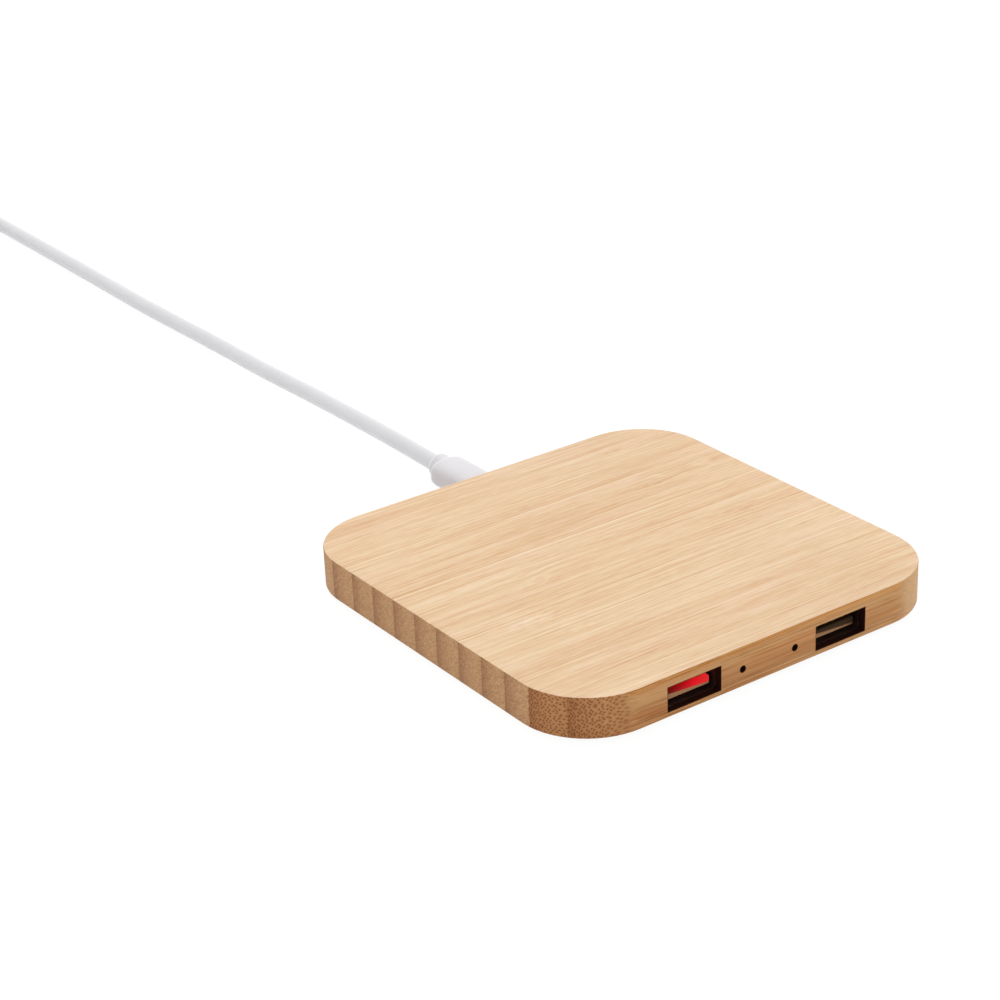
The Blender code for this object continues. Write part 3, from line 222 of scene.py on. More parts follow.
def bend(low, high, radius, half_w, half_h, square, front=False):
    """Rings of a quarter round between two places along Y, from its widest ring or, at the front, up to it."""
    rings = []
    for i in range(EDGE_STEPS + 1):
        turn = math.pi / 2 * i / EDGE_STEPS
        along, inset = (high - low) * math.sin(turn), radius * (1 - math.cos(turn))
        rings.append((high - along if front else low + along, half_w - inset, half_h - inset, square))
    return rings[::-1] if front else rings


def grip_rings():
    """The overmould's rings from its front to its rear, and then those of its collar and lip."""
    rings = bend(0, GRIP_FRONT_EDGE, GRIP_FRONT_EDGE, GRIP_HALF_W, GRIP_HALF_H, GRIP_SQUARE, True)
    start = GRIP_LENGTH - GRIP_SHOULDER
    end = GRIP_LENGTH - GRIP_REAR_EDGE
    steps = 2 * EDGE_STEPS
    for i in range(steps + 1):
        share = i / steps
        fall = GRIP_SINK * (1 - math.cos(math.pi / 2 * share))
        square = GRIP_SQUARE + (GRIP_REAR_SQUARE - GRIP_SQUARE) * share
        rings.append((start + (end - start) * share, GRIP_HALF_W - fall / SIDE_SINK, GRIP_HALF_H - fall, square))
    _, half_w, half_h, _ = rings.pop()
    rings += bend(end, GRIP_LENGTH, GRIP_REAR_EDGE, half_w, half_h, GRIP_REAR_SQUARE)
    collar_end = GRIP_LENGTH + COLLAR_LENGTH
    rings.append((GRIP_LENGTH, COLLAR_START_R, COLLAR_START_R, ROUND))
    rings.append((GRIP_LENGTH + COLLAR_SWELL, COLLAR_R, COLLAR_R, ROUND))
    rings += bend(collar_end - COLLAR_EDGE, collar_end, COLLAR_EDGE, COLLAR_R, COLLAR_R, ROUND)
    rings.append((collar_end, COLLAR_MOUTH_R, COLLAR_MOUTH_R, ROUND))
    rings.append((collar_end + LIP_LENGTH, LIP_R, LIP_R, ROUND))
    return rings


def plug_grip(look):
    """The plug's overmould with crisp rims at its rear and at its collar's end."""
    form = bmesh.new()
    rings = []
    for along, half_w, half_h, square in grip_rings():
        ring = []
        for i in range(GRIP_POINTS):
            turn = 2 * math.pi * (i + 0.5) / GRIP_POINTS
            c, s = math.cos(turn), math.sin(turn)
            power = ROUND / (square * GRIP_UNDER if s < 0 and square > ROUND else square)
            x = half_w * math.copysign(abs(c) ** power, c)
            z = half_h * math.copysign(abs(s) ** power, s)
            ring.append(form.verts.new(Vector(GRIP_AT) + Vector((x, along, z)) * MM))
        rings.append(ring)
    for near, far in zip(rings, rings[1:]):
        for i in range(GRIP_POINTS):
            k = (i + 1) % GRIP_POINTS
            form.faces.new((near[i], near[k], far[k], far[i]))
    form.faces.new(rings[0])
    form.faces.new(rings[-1])
    bmesh.ops.recalc_face_normals(form, faces=form.faces)
    mesh = bpy.data.meshes.new("plug_grip")
    form.to_mesh(mesh)
    form.free()
    mesh.materials.append(look)
    mesh.shade_smooth()
    obj = stand("plug_grip", mesh)
    obj.modifiers.new("edges", "EDGE_SPLIT").split_angle = GRIP_CRISP
    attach(obj, "cable")
    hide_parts("plug_overmould")
    return obj


# Materials


def shade(red, green, blue):
    """A display colour of 0 to 255 as the linear colour that a shader takes."""
    parts = [v / 255 for v in (red, green, blue)]
    linear = [v / 12.92 if v <= 0.04045 else ((v + 0.055) / 1.055) ** 2.4 for v in parts]
    return (*linear, 1)


class Look:
    """A material whose nodes are added by short calls. Each value is a number, a colour or another node's output.

    Its place, x, y and z, is in millimetres in the pad's frame and moves with the piece. Its place and each place that
    is given to a call are three values. Display colours are written as 0 to 255.
    """

    def __init__(self, name):
        self.material = bpy.data.materials.new(name)
        self.material.use_nodes = True
        self.tree = self.material.node_tree
        self.shader = self.tree.nodes["Principled BSDF"]
        metres = self.add("TexCoord").outputs["Object"]
        scaled = self.add("VectorMath", {"operation": "SCALE"}, Vector=metres, Scale=1 / MM)
        self.place = tuple(self.add("SeparateXYZ", Vector=scaled.outputs[0]).outputs)
        self.x, self.y, self.z = self.place

    def feed(self, socket, value):
        if isinstance(value, bpy.types.NodeSocket):
            self.tree.links.new(value, socket)
        else:
            socket.default_value = value

    def add(self, kind, settings=(), **inputs):
        node = self.tree.nodes.new("ShaderNode" + kind)
        for key, value in dict(settings).items():
            setattr(node, key, value)
        for name, value in inputs.items():
            self.feed(node.inputs[name.replace("_", " ")], value)
        return node

    def math(self, operation, *values):
        node = self.add("Math", {"operation": operation})
        for socket, value in zip(node.inputs, values):
            self.feed(socket, value)
        return node.outputs[0]

    def total(self, *values):
        found = values[0]
        for value in values[1:]:
            found = self.math("ADD", found, value)
        return found

    def minus(self, a, b):
        return self.math("SUBTRACT", a, b)

    def times(self, a, b):
        return self.math("MULTIPLY", a, b)

    def weigh(self, *pairs):
        """The sum of values, each times its weight."""
        return self.total(*[self.times(value, weight) for value, weight in pairs])

    def off(self, value, middle):
        """How far a value is from the middle, either way."""
        return self.math("ABSOLUTE", self.minus(value, middle))

    def steps(self, value, low, high, smooth=True):
        """0 below low and 1 above high, or the other way round where low is the greater."""
        settings = {"interpolation_type": "SMOOTHSTEP" if smooth else "LINEAR", "clamp": True}
        return self.add("MapRange", settings, Value=value, From_Min=low, From_Max=high).outputs[0]

    def vector(self, x, y, z):
        return self.add("CombineXYZ", X=x, Y=y, Z=z).outputs[0]

    def facing(self):
        """How much of the surface's direction lies along x, y and z."""
        normal = self.add("TexCoord").outputs["Normal"]
        size = self.add("VectorMath", {"operation": "ABSOLUTE"}, Vector=normal)
        return self.add("SeparateXYZ", Vector=size.outputs[0]).outputs

    def noise(self, place, scale=1.0, detail=2.0, roughness=0.5):
        """Noise from 0 to 1. The scale is one number, or one for each part of the place."""
        if isinstance(scale, tuple):
            place = [part if by == 1 else self.times(part, by) for part, by in zip(place, scale)]
            scale = 1
        inputs = {"Vector": self.vector(*place), "Scale": scale, "Detail": detail, "Roughness": roughness}
        return self.add("TexNoise", **inputs).outputs["Fac"]

    def waver(self, place, scale=1.0, detail=2.0, roughness=0.5):
        """Noise from -0.5 to 0.5."""
        return self.minus(self.noise(place, scale, detail, roughness), 0.5)

    def ramp(self, value, stops):
        """Colours of stops (place, display colour)."""
        node = self.add("ValToRGB", Fac=value)
        points = node.color_ramp.elements
        while len(points) < len(stops):
            points.new(0.5)
        for point, (place, colour) in zip(points, stops):
            point.position = place
            point.color = shade(*colour)
        return node.outputs["Color"]

    def mix(self, share, a, b, kind="MIX"):
        node = self.add("Mix", {"data_type": "RGBA", "blend_type": kind})
        for socket, value in ((node.inputs[0], share), (node.inputs[6], a), (node.inputs[7], b)):
            self.feed(socket, value)
        return node.outputs[2]

    def shades(self, share, colours):
        """From the first of two display colours, at 0, to the second, at 1."""
        low, high = colours
        return self.mix(share, shade(*low), shade(*high))

    def tones(self, value, colours, low=0.3, high=0.7):
        """The same, as a value goes from low to high."""
        return self.shades(self.steps(value, low, high), colours)

    def bump(self, height, strength, distance):
        """Relief from a height, in millimetres of distance."""
        bump = self.add("Bump", Height=height, Strength=strength, Distance=distance * MM)
        self.feed(self.shader.inputs["Normal"], bump.outputs[0])

    def paint(self, **inputs):
        for name, value in inputs.items():
            self.feed(self.shader.inputs[name.replace("_", " ")], value)
        return self.material


# Bamboo: strips side by side along Y, with fibres along X
STRIP = 7.47
SEAM_Y = 33.1
WOOD_LOW = 0.8
WOOD_TOP = 9.55
WOOD_HALF = 47.5
STRAIGHT_HALF = 32.0  # half of a side's straight part
CORNER_R = 15.5

# What chance gives each strip: a tone, and a shift of the grain along it and of the bundles across it
TONE_RANGE = 0.08
GRAIN_SHIFT = 900
BUNDLE_SHIFTS = (50, 30)

# Noises of the grain: cycles in a millimetre along and across it, detail, roughness and weight in the wood's lightness
GRAINS = {
    "cloud": (0.022, 0.14, 2, 0.5, 0.24),
    "band": (0.014, 0.6, 2, 0.5, 0.36),
    "line": (0.03, 2, 2, 0.5, 0.6),
    "hair": (0.07, 4.8, 2, 0.6, 0.72),
    "fleck": (0.22, 3.2, 1, 0.5, 0.3),
}
MOTTLE = (0.5, 1.1, 1)
MOTTLE_WEIGHT = 0.16

# How the grain wanders: cycles in a millimetre, and how far in millimetres
SWAY = (0.011, 0.05, 1)
SWAY_REACH = 2.6
RIPPLE = (0.1, 0.17, 1)
RIPPLE_REACH = 3.0

# Places where a strip's joint with the next length of its cane ripples the grain: x, y, half length, half width
RIPPLES = (
    (30, 37.5, 9, 3.4),
    (39, 22.5, 9, 3.6),
    (27, 19.5, 8, 2.6),
    (-4, 28.5, 6, 3.2),
    (-23, 30, 6, 2.4),
    (-21, 2, 8, 3),
    (34, -2.5, 8, 3),
    (-4, -15, 6, 2),
)

# Places where the top is paler or browner, in the same form, and by how much
PALE_SPOTS = (
    (-31, -14.2, 8, 3),
    (-26, -22.3, 5, 1.6),
    (40, 20.5, 5, 2.4),
    (29, 22, 4, 1.6),
    (1, -15.6, 4, 1),
    (-20, -1.5, 9, 2.4),
)
BROWN_SPOTS = ((31, -1.8, 8, 1.8), (26, 18.8, 8, 1.8), (-4, 27, 4, 2.2), (29, 38, 5, 2))
PALER = 0.07
BROWNER = -0.05
SPOT_CORE = 0.15  # the share of a spot that is full

# Fibre bundles: the dark middles of cells, which lie in some disorder, crowd towards a strip's upper side and curl
CELL = 0.69
CELL_DISORDER = 0.6
CROWDING = (0.7, 0.36)  # how closely they lie at a strip's lower side, and what the upper side adds
CURL_CYCLES = 0.4
CURL_REACH = (0.8, -0.5)  # along y and z
BUNDLE_TURN = math.radians(33)
BUNDLE_EDGE = (0.38, 0.14)  # where a bundle ends and where it is full, in cells from its middle
BUNDLE_MEAN = 0.4  # the usual distance from a bundle's middle, in cells
ROUND_TO = 0.866  # the sine up to which dots stay round on a corner; past it the fibres draw them out

# Seams: a thin dark line over a thin light one, plain at these strips and faint at the others, and coming and going
# along their length. Each line ends at its first distance and is full at its second
PLAIN_SEAMS = (-1, -3, -6, -7)
FAINT = 0.35
DARK_LINE = (0.5, 0.12)
LIGHT_LINE_AT = 0.25
LIGHT_LINE = (0.42, 0.08)
GLUE_LINE = (0.12, 0.03)
SEAM_CYCLES = 0.05
SEAM_LEAST = -0.1
SEAM_RANGE = 1.7

# The top's colours by lightness, what its lines take from that or add, a rosy tint for parts of it, and two factors
# that even it out, because its clouds happen to be lighter towards +X
TOP_TONES = (
    (0.1, (217, 170, 122)),
    (0.35, (232, 194, 153)),
    (0.5, (239, 207, 169)),
    (0.65, (245, 217, 181)),
    (0.9, (252, 232, 203)),
)
BUNDLE_DARKER = -0.05
SEAM_DARKER = -0.12
SEAM_LIGHTER = 0.18
ROSY = (1.01, 0.982, 1.02, 1)
ROSY_CYCLES = (0.02, 0.4, 1)
ROSY_PARTS = (0.35, 0.7)
EVEN_LEFT = (1.04, 1.04, 1.04, 1)
EVEN_RIGHT = (0.95, 0.95, 0.95, 1)

# The port side's colours by height, with painted light making the very bottom lighter against the shade near the
# floor, its streaks' by lightness, its pale lines and its warm streaks
PORT_TONES = (
    # Painted light: this lowest stop is lighter to offset the shade near the floor
    (0.0, (226, 176, 122)),
    (0.2, (198, 144, 96)),
    (0.34, (209, 153, 101)),
    (0.41, (197, 140, 91)),
    (0.52, (211, 158, 107)),
    (0.78, (221, 172, 119)),
    (0.845, (211, 156, 105)),
    (0.9, (226, 168, 107)),
    (0.985, (220, 165, 99)),
)
STREAK_TONES = (
    (0.1, (216, 184, 154)),
    (0.35, (240, 230, 218)),
    (0.6, (255, 255, 255)),
    (0.9, (255, 255, 252)),
)
PALE_LINE = (236, 192, 140)
PALE_SHARE = 0.6
WARM_STREAK = (210, 136, 82)
WARM_SHARE = 0.5
WARM_CYCLES = (0.02, 1, 0.9)

# End grain's colours by lightness, which are deeper near the ports and paler again at the far corner, where painted
# light stands in for light from the +X side
PALE_END = (
    (0.1, (168, 119, 86)),
    (0.4, (198, 151, 110)),
    (0.6, (217, 171, 124)),
    (0.9, (232, 192, 144)),
)
DEEP_END = (
    (0.1, (162, 105, 67)),
    (0.4, (189, 132, 86)),
    (0.6, (203, 147, 98)),
    (0.9, (222, 171, 121)),
)
DEEP_FROM_Y = (-33.7, -34.3)
DEEP_FROM_X = (5, -5)
DEEP_AT_FAR_SIDE = 0.12
FAR_CORNER = ((29, 35), (-32, -38))  # from where to where it comes in, along x and along y
FAR_PAINTED_LIGHT = (240, 203, 153)
FAR_PAINTED_LIGHT_SHARE = 0.3
DOT_TONE = (124, 58, 8)
DOTS_FROM_Y = (-6, -34)
ARCS = 2.9  # cycles in a millimetre across the saw's arcs
ARC_RUN = 0.9  # and along them
ARC_LEAN = (0.87, -0.5)  # which way they run, along y and z
ARC_SHIFT = 3.7  # from each strip to the next

# How far a face turns before it starts to show end grain, or the top's, and before it shows nothing else
END_FACES = (0.03, 0.28)
TOP_FACES = (0.35, 0.75)

# Openings, whose walls and rims a laser burnt: from where to where along y the char comes in, how little a face must
# turn to the rear to be charred there, and the distances from each opening at which it ends and is full
FRONT_WALLS = (-38, -40)
REAR_WALLS = (43, 44)
HOLE_FACES = (0.7, 0.4)
PORT_MIDDLE = -0.6
PORT_REACH = 18.375
PORT_HALF_W = 6.42
PORT_HALF_H = 2.6
PORT_Z = 4.6
PIN_REACH = 6.55
PIN_R = 0.68
CHAR_RIM = (0.17, 0.02)
PLUG_HOLE = ((1.05, 5.4), (5.1, 2.2))  # middle and half size, along x and along z
PLUG_HOLE_RIM = (0.3, 0)
SOOT = ((34, 12, 6), (54, 22, 11))


class Bamboo(Look):
    """Laminated bamboo: what all its faces share, and then the colours of each."""

    def __init__(self):
        super().__init__("bamboo")
        self.side_x, self.side_y, self.side_z = self.facing()
        self.lay_strips()
        self.run_grain()
        self.gather_bundles()
        self.glue_seams()

    def lay_strips(self):
        across = self.math("DIVIDE", self.minus(self.y, SEAM_Y), STRIP)
        self.number = self.math("FLOOR", across)
        self.within = self.math("FRACT", across)
        chance = self.add("TexWhiteNoise", {"noise_dimensions": "1D"}, W=self.number).outputs["Color"]
        self.tone_of, self.shift_of, self.depth_of = self.add("SeparateXYZ", Vector=chance).outputs
        self.lower = self.times(self.within, STRIP)
        self.upper = self.times(self.minus(1, self.within), STRIP)

    def spot(self, middle_x, middle_y, half_x, half_y):
        """1 at the middle of an oval, fading to 0 at its edge."""
        across = self.math("DIVIDE", self.minus(self.x, middle_x), half_x)
        up = self.math("DIVIDE", self.minus(self.y, middle_y), half_y)
        away = self.math("SQRT", self.weigh((across, across), (up, up)))
        return self.steps(away, 1, SPOT_CORE)

    def spots(self, places):
        return self.total(*[self.spot(*place) for place in places])

    def run_grain(self):
        """The grain wanders a little along its length, and ripples at the joints."""
        x, y, z = self.place
        self.long_x = self.total(x, self.times(self.shift_of, GRAIN_SHIFT))
        ripple = self.math("MINIMUM", self.spots(RIPPLES), 1)
        self.swell = self.times(self.waver((self.long_x, y, self.number), SWAY, 1), SWAY_REACH)
        rippled = self.times(ripple, self.times(self.waver(self.place, RIPPLE), RIPPLE_REACH))
        self.wavy_y = self.total(y, self.swell, rippled)
        self.wavy_z = self.total(z, self.times(self.swell, 0.5))

        wavy = (self.long_x, self.wavy_y, self.wavy_z)
        found = {}
        for name, (along, across, detail, roughness, _) in GRAINS.items():
            found[name] = self.waver(wavy, (along, across, across), detail, roughness)
        self.cloud, self.band, self.line, self.hair, _ = found.values()
        mottle = self.waver(self.place, MOTTLE)
        self.grain = self.weigh(
            *[(found[name], GRAINS[name][-1]) for name in GRAINS],
            (mottle, MOTTLE_WEIGHT),
            (self.minus(self.tone_of, 0.5), TONE_RANGE),
        )
        self.marks = self.weigh(
            (self.spots(PALE_SPOTS), self.total(PALER, self.weigh((mottle, 0.5), (self.line, 0.4)))),
            (self.spots(BROWN_SPOTS), self.total(BROWNER, self.weigh((mottle, 0.3), (self.line, 0.3)))),
            (ripple, self.times(mottle, 0.12)),
        )

    def gather_bundles(self):
        """Dots on end grain and fine lines along the grain, laid out flat round each corner."""
        least, more = CROWDING
        crowded = self.times(self.lower, self.total(least, self.times(self.within, more)))
        beyond = self.math("DIVIDE", self.minus(self.math("ABSOLUTE", self.y), STRAIGHT_HALF), CORNER_R)
        turned = self.math("MINIMUM", self.math("MAXIMUM", beyond, 0.0), ROUND_TO)
        past = self.math("MAXIMUM", self.minus(beyond, ROUND_TO), 0.0)
        round_it = self.total(self.minus(self.math("ARCSINE", turned), turned), past)
        round_it = self.times(round_it, self.times(self.math("SIGN", self.y), CORNER_R))
        curl = self.noise((self.y, self.z, self.number), (CURL_CYCLES, CURL_CYCLES, 1), 1)
        curl_y, curl_z = [self.times(curl, reach) for reach in CURL_REACH]
        shift_y, shift_z = [self.times(*pair) for pair in zip((self.shift_of, self.depth_of), BUNDLE_SHIFTS)]
        across = self.total(crowded, shift_y, self.swell, curl_y, round_it)
        up = self.total(self.wavy_z, shift_z, curl_z)
        c, s = math.cos(BUNDLE_TURN), math.sin(BUNDLE_TURN)
        place = self.vector(self.weigh((across, c), (up, s)), self.weigh((up, c), (across, -s)), 0.0)
        settings = {"feature": "F1", "voronoi_dimensions": "2D"}
        cells = self.add("TexVoronoi", settings, Vector=place, Scale=1 / CELL, Randomness=CELL_DISORDER)
        away = cells.outputs["Distance"]
        self.bundle = self.steps(away, *BUNDLE_EDGE)
        self.between = self.minus(away, BUNDLE_MEAN)

    def glue_seams(self):
        strength = self.noise((self.x, self.number, 0.0), (SEAM_CYCLES, 1, 1))
        strength = self.total(SEAM_LEAST, self.times(strength, SEAM_RANGE))
        above = self.total(FAINT, *[self.math("COMPARE", self.number, n, 0.5) for n in PLAIN_SEAMS])
        below = self.total(FAINT, *[self.math("COMPARE", self.number, n - 1, 0.5) for n in PLAIN_SEAMS])
        self.dark_seam = self.times(self.steps(self.lower, *DARK_LINE), self.times(strength, above))
        from_light = self.off(self.upper, LIGHT_LINE_AT)
        self.light_seam = self.times(self.steps(from_light, *LIGHT_LINE), self.times(strength, below))
        self.glue = self.steps(self.upper, *GLUE_LINE)

    def top(self):
        """Long grain with its seams, its joints' ripples and a few spots."""
        lines = self.weigh(
            (self.bundle, BUNDLE_DARKER),
            (self.dark_seam, SEAM_DARKER),
            (self.light_seam, SEAM_LIGHTER),
        )
        colour = self.ramp(self.total(0.5, self.grain, self.marks, lines), TOP_TONES)
        rosy = self.noise((self.long_x, self.wavy_y, self.z), ROSY_CYCLES)
        colour = self.mix(self.steps(rosy, *ROSY_PARTS), colour, ROSY, "MULTIPLY")
        evened = self.mix(self.steps(self.x, -WOOD_HALF, WOOD_HALF, False), EVEN_LEFT, EVEN_RIGHT)
        return self.mix(1.0, colour, evened, "MULTIPLY")

    def port_side(self):
        """Long grain with a golden band under the top edge and warmer streaks below."""
        height = self.steps(self.z, WOOD_LOW, WOOD_TOP, False)
        warmth = self.ramp(self.total(height, self.weigh((self.band, 0.08), (self.cloud, 0.05))), PORT_TONES)
        streak = self.total(0.5, self.grain, self.weigh((self.band, 0.35), (self.line, 0.85), (self.hair, 0.9)))
        colour = self.mix(1.0, warmth, self.ramp(streak, STREAK_TONES), "MULTIPLY")
        pale_line = self.steps(self.total(self.line, self.times(self.hair, 0.5)), 0.16, 0.26)
        colour = self.mix(self.times(pale_line, PALE_SHARE), colour, shade(*PALE_LINE))
        warm = self.steps(self.noise((self.long_x, 0.0, self.z), WARM_CYCLES), 0.54, 0.68)
        return self.mix(self.times(warm, WARM_SHARE), colour, shade(*WARM_STREAK))

    def end_grain(self):
        """Each strip darkens towards its upper side.

        Its bundles show as dots near the ports, and elsewhere the saw has drawn them out into fine arcs.
        """
        near_side = self.times(self.steps(self.x, *DEEP_FROM_X), 1 - DEEP_AT_FAR_SIDE)
        deep = self.times(self.steps(self.y, *DEEP_FROM_Y), self.total(DEEP_AT_FAR_SIDE, near_side))
        # Painted light from the +X side: the far corner turns paler, and its arcs and dots fainter
        far_x, far_y = FAR_CORNER
        far = self.times(self.steps(self.x, *far_x), self.steps(self.y, *far_y))

        fall = self.times(self.lower, self.total(0.35, self.times(self.within, 0.35)))
        run_y, run_z = ARC_LEAN
        over = self.times(self.total(self.times(self.z, run_y), fall), ARCS)
        along = self.times(self.weigh((self.y, run_y), (self.z, run_z)), ARC_RUN)
        arcs = self.waver((along, over, self.times(self.number, ARC_SHIFT)), 1, 3, 0.6)
        arcs = self.times(arcs, self.minus(0.8, self.times(deep, 0.8)))
        arcs = self.times(arcs, self.total(1, self.times(far, -0.35)))

        leaning = self.times(self.minus(0.45, self.within), self.times(self.within, 0.58))
        cells = self.times(self.between, self.total(0.06, self.times(deep, 0.29)))
        light = self.total(0.5, leaning, self.times(self.grain, 0.35), cells, arcs, self.times(self.glue, -0.2))
        colour = self.mix(deep, self.ramp(light, PALE_END), self.ramp(light, DEEP_END))

        dots = self.times(deep, self.total(0.17, self.times(self.steps(self.side_x, 0.1, 0.7), 0.24)))
        to_ports = self.steps(self.y, *DOTS_FROM_Y)
        dots = self.total(0.06, self.weigh((self.within, 0.16), (to_ports, 0.14)), dots)
        dots = self.times(self.times(self.bundle, dots), self.total(1, self.times(far, -0.65)))
        colour = self.mix(dots, colour, shade(*DOT_TONE))
        return self.mix(self.times(far, FAR_PAINTED_LIGHT_SHARE), colour, shade(*FAR_PAINTED_LIGHT))

    def charred(self):
        """1 on the walls of the ports and holes, and just round their edges."""
        from_middle = self.off(self.x, PORT_MIDDLE)
        above = self.off(self.z, PORT_Z)
        beside = self.minus(self.off(from_middle, PORT_REACH), PORT_HALF_W)
        slot = self.math("MAXIMUM", beside, self.minus(above, PORT_HALF_H))
        pin_x = self.minus(from_middle, PIN_REACH)
        pin = self.minus(self.math("SQRT", self.weigh((pin_x, pin_x), (above, above))), PIN_R)
        near = self.steps(self.math("MINIMUM", slot, pin), *CHAR_RIM)
        front = self.times(near, self.steps(self.y, *FRONT_WALLS))
        walls = zip((self.x, self.z), PLUG_HOLE)
        hole = self.math("MAXIMUM", *[self.minus(self.off(value, middle), half) for value, (middle, half) in walls])
        wall = self.times(self.steps(self.y, *REAR_WALLS), self.steps(self.side_y, *HOLE_FACES))
        return self.math("MAXIMUM", front, self.times(self.steps(hole, *PLUG_HOLE_RIM), wall))

    def finish(self):
        """Puts each face's colour where the surface turns that way, and the char over them."""
        sides = self.mix(self.steps(self.side_x, *END_FACES), self.port_side(), self.end_grain())
        wood = self.mix(self.steps(self.side_z, *TOP_FACES), sides, self.top())
        soot = self.shades(self.noise(self.place, 2.5), SOOT)
        burnt = self.charred()
        self.bump(
            self.weigh((self.hair, 0.7), (self.line, 0.5), (self.bundle, -0.4), (self.dark_seam, -0.3)),
            strength=0.2,
            distance=0.03,
        )
        return self.paint(
            Base_Color=self.mix(burnt, wood, soot),
            Roughness=self.total(0.55, self.weigh((self.hair, 0.25), (burnt, 0.35))),
            Specular_IOR_Level=0.1,
        )


# The front of a receptacle's tongue, and the line on it that the light draws, painted tan, in shares of its height
TONGUE_LOW = 2.74
TONGUE_HIGH = 4.58
TAN_LINE = 0.74
TAN_FALL = 0.45
PAINTED_LIT_TAN = ((194, 144, 102), (220, 170, 126))
TONGUE_BLACK = (74, 54, 34)
TONGUE_UNLIT = (60, 10, 12)
TONGUE_FOOT_SHADE = (26, 14, 10)
# Painted light: the red that the port's lamp throws on the left tongue, given off by the tongue itself
PAINTED_RED_TONES = (
    (0.1, (66, 14, 8)),
    (0.26, (112, 14, 10)),
    (0.42, (160, 12, 16)),
    (0.56, (196, 12, 22)),
    (0.72, (228, 20, 34)),
    (0.98, (226, 44, 44)),
)
TONGUE_GLOW = 0.9


def tongue(name, piece, glow=False):
    """A tongue: painted light low on its front, painted shade at its foot and, if asked, painted red from its lamp."""
    look = Look(name)
    low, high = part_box(piece)
    cloud = look.noise(look.place, 1.2, 3)
    across = look.steps(look.x, low.x / MM, high.x / MM, False)
    up = look.steps(look.z, TONGUE_LOW, TONGUE_HIGH, False)
    over = look.minus(up, look.total(TAN_LINE, look.times(across, -TAN_FALL)))
    painted_lit_tan = look.shades(cloud, PAINTED_LIT_TAN)
    if glow:
        # Painted light: the lamp's red, given off by the tongue's front above the tan
        red_share = look.times(look.steps(over, -0.1, 0.1), look.steps(look.facing()[0], 0.7, 0.3))
        red = look.ramp(look.total(across, look.times(cloud, 0.08)), PAINTED_RED_TONES)
        base = look.mix(red_share, painted_lit_tan, shade(*TONGUE_UNLIT))
        look.paint(Emission_Color=red, Emission_Strength=look.times(red_share, TONGUE_GLOW))
    else:
        # Painted light: tan low on the front, where light from outside reaches into the slot
        tan_share = look.times(look.steps(over, 0.06, -0.24), look.steps(across, 1.04, 0.8))
        base = look.mix(tan_share, shade(*TONGUE_BLACK), painted_lit_tan)
    # Painted shade: the tongue's foot goes near black in the shade low in the slot
    base = look.mix(look.steps(up, 0.02, 0.16), shade(*TONGUE_FOOT_SHADE), base)
    look.bump(cloud, 0.1, 0.02)
    return look.paint(
        Base_Color=base,
        Roughness=look.total(0.5, look.times(cloud, 0.2)),
        Specular_IOR_Level=0.12,
    )


# Painted highlights on the plug's rims, where they catch the light; places along Y
GRIP_RIM_HIGHLIGHTS = (62.52, 65.38)
RIM_HIGHLIGHT_WIDTH = (0.4, 0.12)
RIM_HIGHLIGHT = (249, 248, 250)
SOFT_RADIUS = (1, 0.95, 0.9)
SOFT_DEPTH = 1.5
COAT_ROUGHNESS = 0.3


def moulded(name, colours, roughness, grain, relief, dust=None, level=0.5, rims=(), soft=0.0, coat=0.0):
    """Moulded plastic or rubber: a fine spark-eroded texture, a slow cloud of tone and, if asked, dust and lit rims.

    Light goes a little way into a soft one, a coat makes it glossier, and the rims' light is a painted highlight.
    """
    look = Look(name)
    cloud = look.noise(look.place, 0.11, 3)
    fine = look.noise(look.place, grain, 2, 0.6)
    pits = look.add("TexVoronoi", {"feature": "SMOOTH_F1"}, Vector=look.vector(*look.place), Scale=grain * 1.3)
    colour = look.tones(look.weigh((cloud, 0.6), (fine, 0.4)), colours)
    if dust:
        specks = look.steps(look.noise(look.place, 6.5, 1), 0.7, 0.8)
        colour = look.mix(look.times(specks, 0.35), colour, shade(*dust))
    # Painted highlight: a paler band along each rim
    for rim in rims:
        colour = look.mix(look.steps(look.off(look.y, rim), *RIM_HIGHLIGHT_WIDTH), colour, shade(*RIM_HIGHLIGHT))
    if soft:
        look.paint(Subsurface_Weight=soft, Subsurface_Radius=SOFT_RADIUS, Subsurface_Scale=SOFT_DEPTH * MM)
    look.bump(look.total(pits.outputs["Distance"], look.times(fine, 0.6)), relief, 0.02)
    return look.paint(
        Base_Color=colour,
        Roughness=look.total(roughness - 0.08, look.weigh((cloud, 0.1), (fine, 0.1))),
        Specular_IOR_Level=level,
        Coat_Weight=coat,
        Coat_Roughness=COAT_ROUGHNESS,
    )


STREAKS = {"y": (7, 0.15, 7), "z": (7, 7, 0.15)}  # cycles in a millimetre


def metal(name, colours, roughness, along="y", wear_and_shade=None):
    """Drawn or plated metal: fine streaks along one way, cloudy gloss and, if asked, darker patches."""
    look = Look(name)
    streak = look.noise(look.place, STREAKS[along])
    cloud = look.noise(look.place, 0.45, 3)
    colour = look.tones(look.weigh((streak, 0.6), (cloud, 0.4)), colours)
    if wear_and_shade:
        # Darker patches: wear on the screws, painted shade on the gold contacts
        worn_and_shaded = look.steps(look.noise(look.place, 1.4, 4, 0.65), 0.6, 0.72)
        colour = look.mix(look.times(worn_and_shaded, 0.7), colour, shade(*wear_and_shade))
    look.bump(streak, 0.12, 0.006)
    rough = look.total(roughness - 0.1, look.weigh((streak, 0.14), (cloud, 0.1)))
    return look.paint(Base_Color=colour, Roughness=rough, Metallic=1)


MASK = ((18, 74, 44), (26, 92, 56))
COPPER_RUN = (46, 122, 74)
VIA = (206, 164, 92)
VIA_BORE = (20, 20, 18)
BOARD_CORE = ((168, 156, 96), (190, 180, 122))
RUN_PATTERN = {"offset": 0.37, "offset_frequency": 3, "squash": 0.6, "squash_frequency": 2}


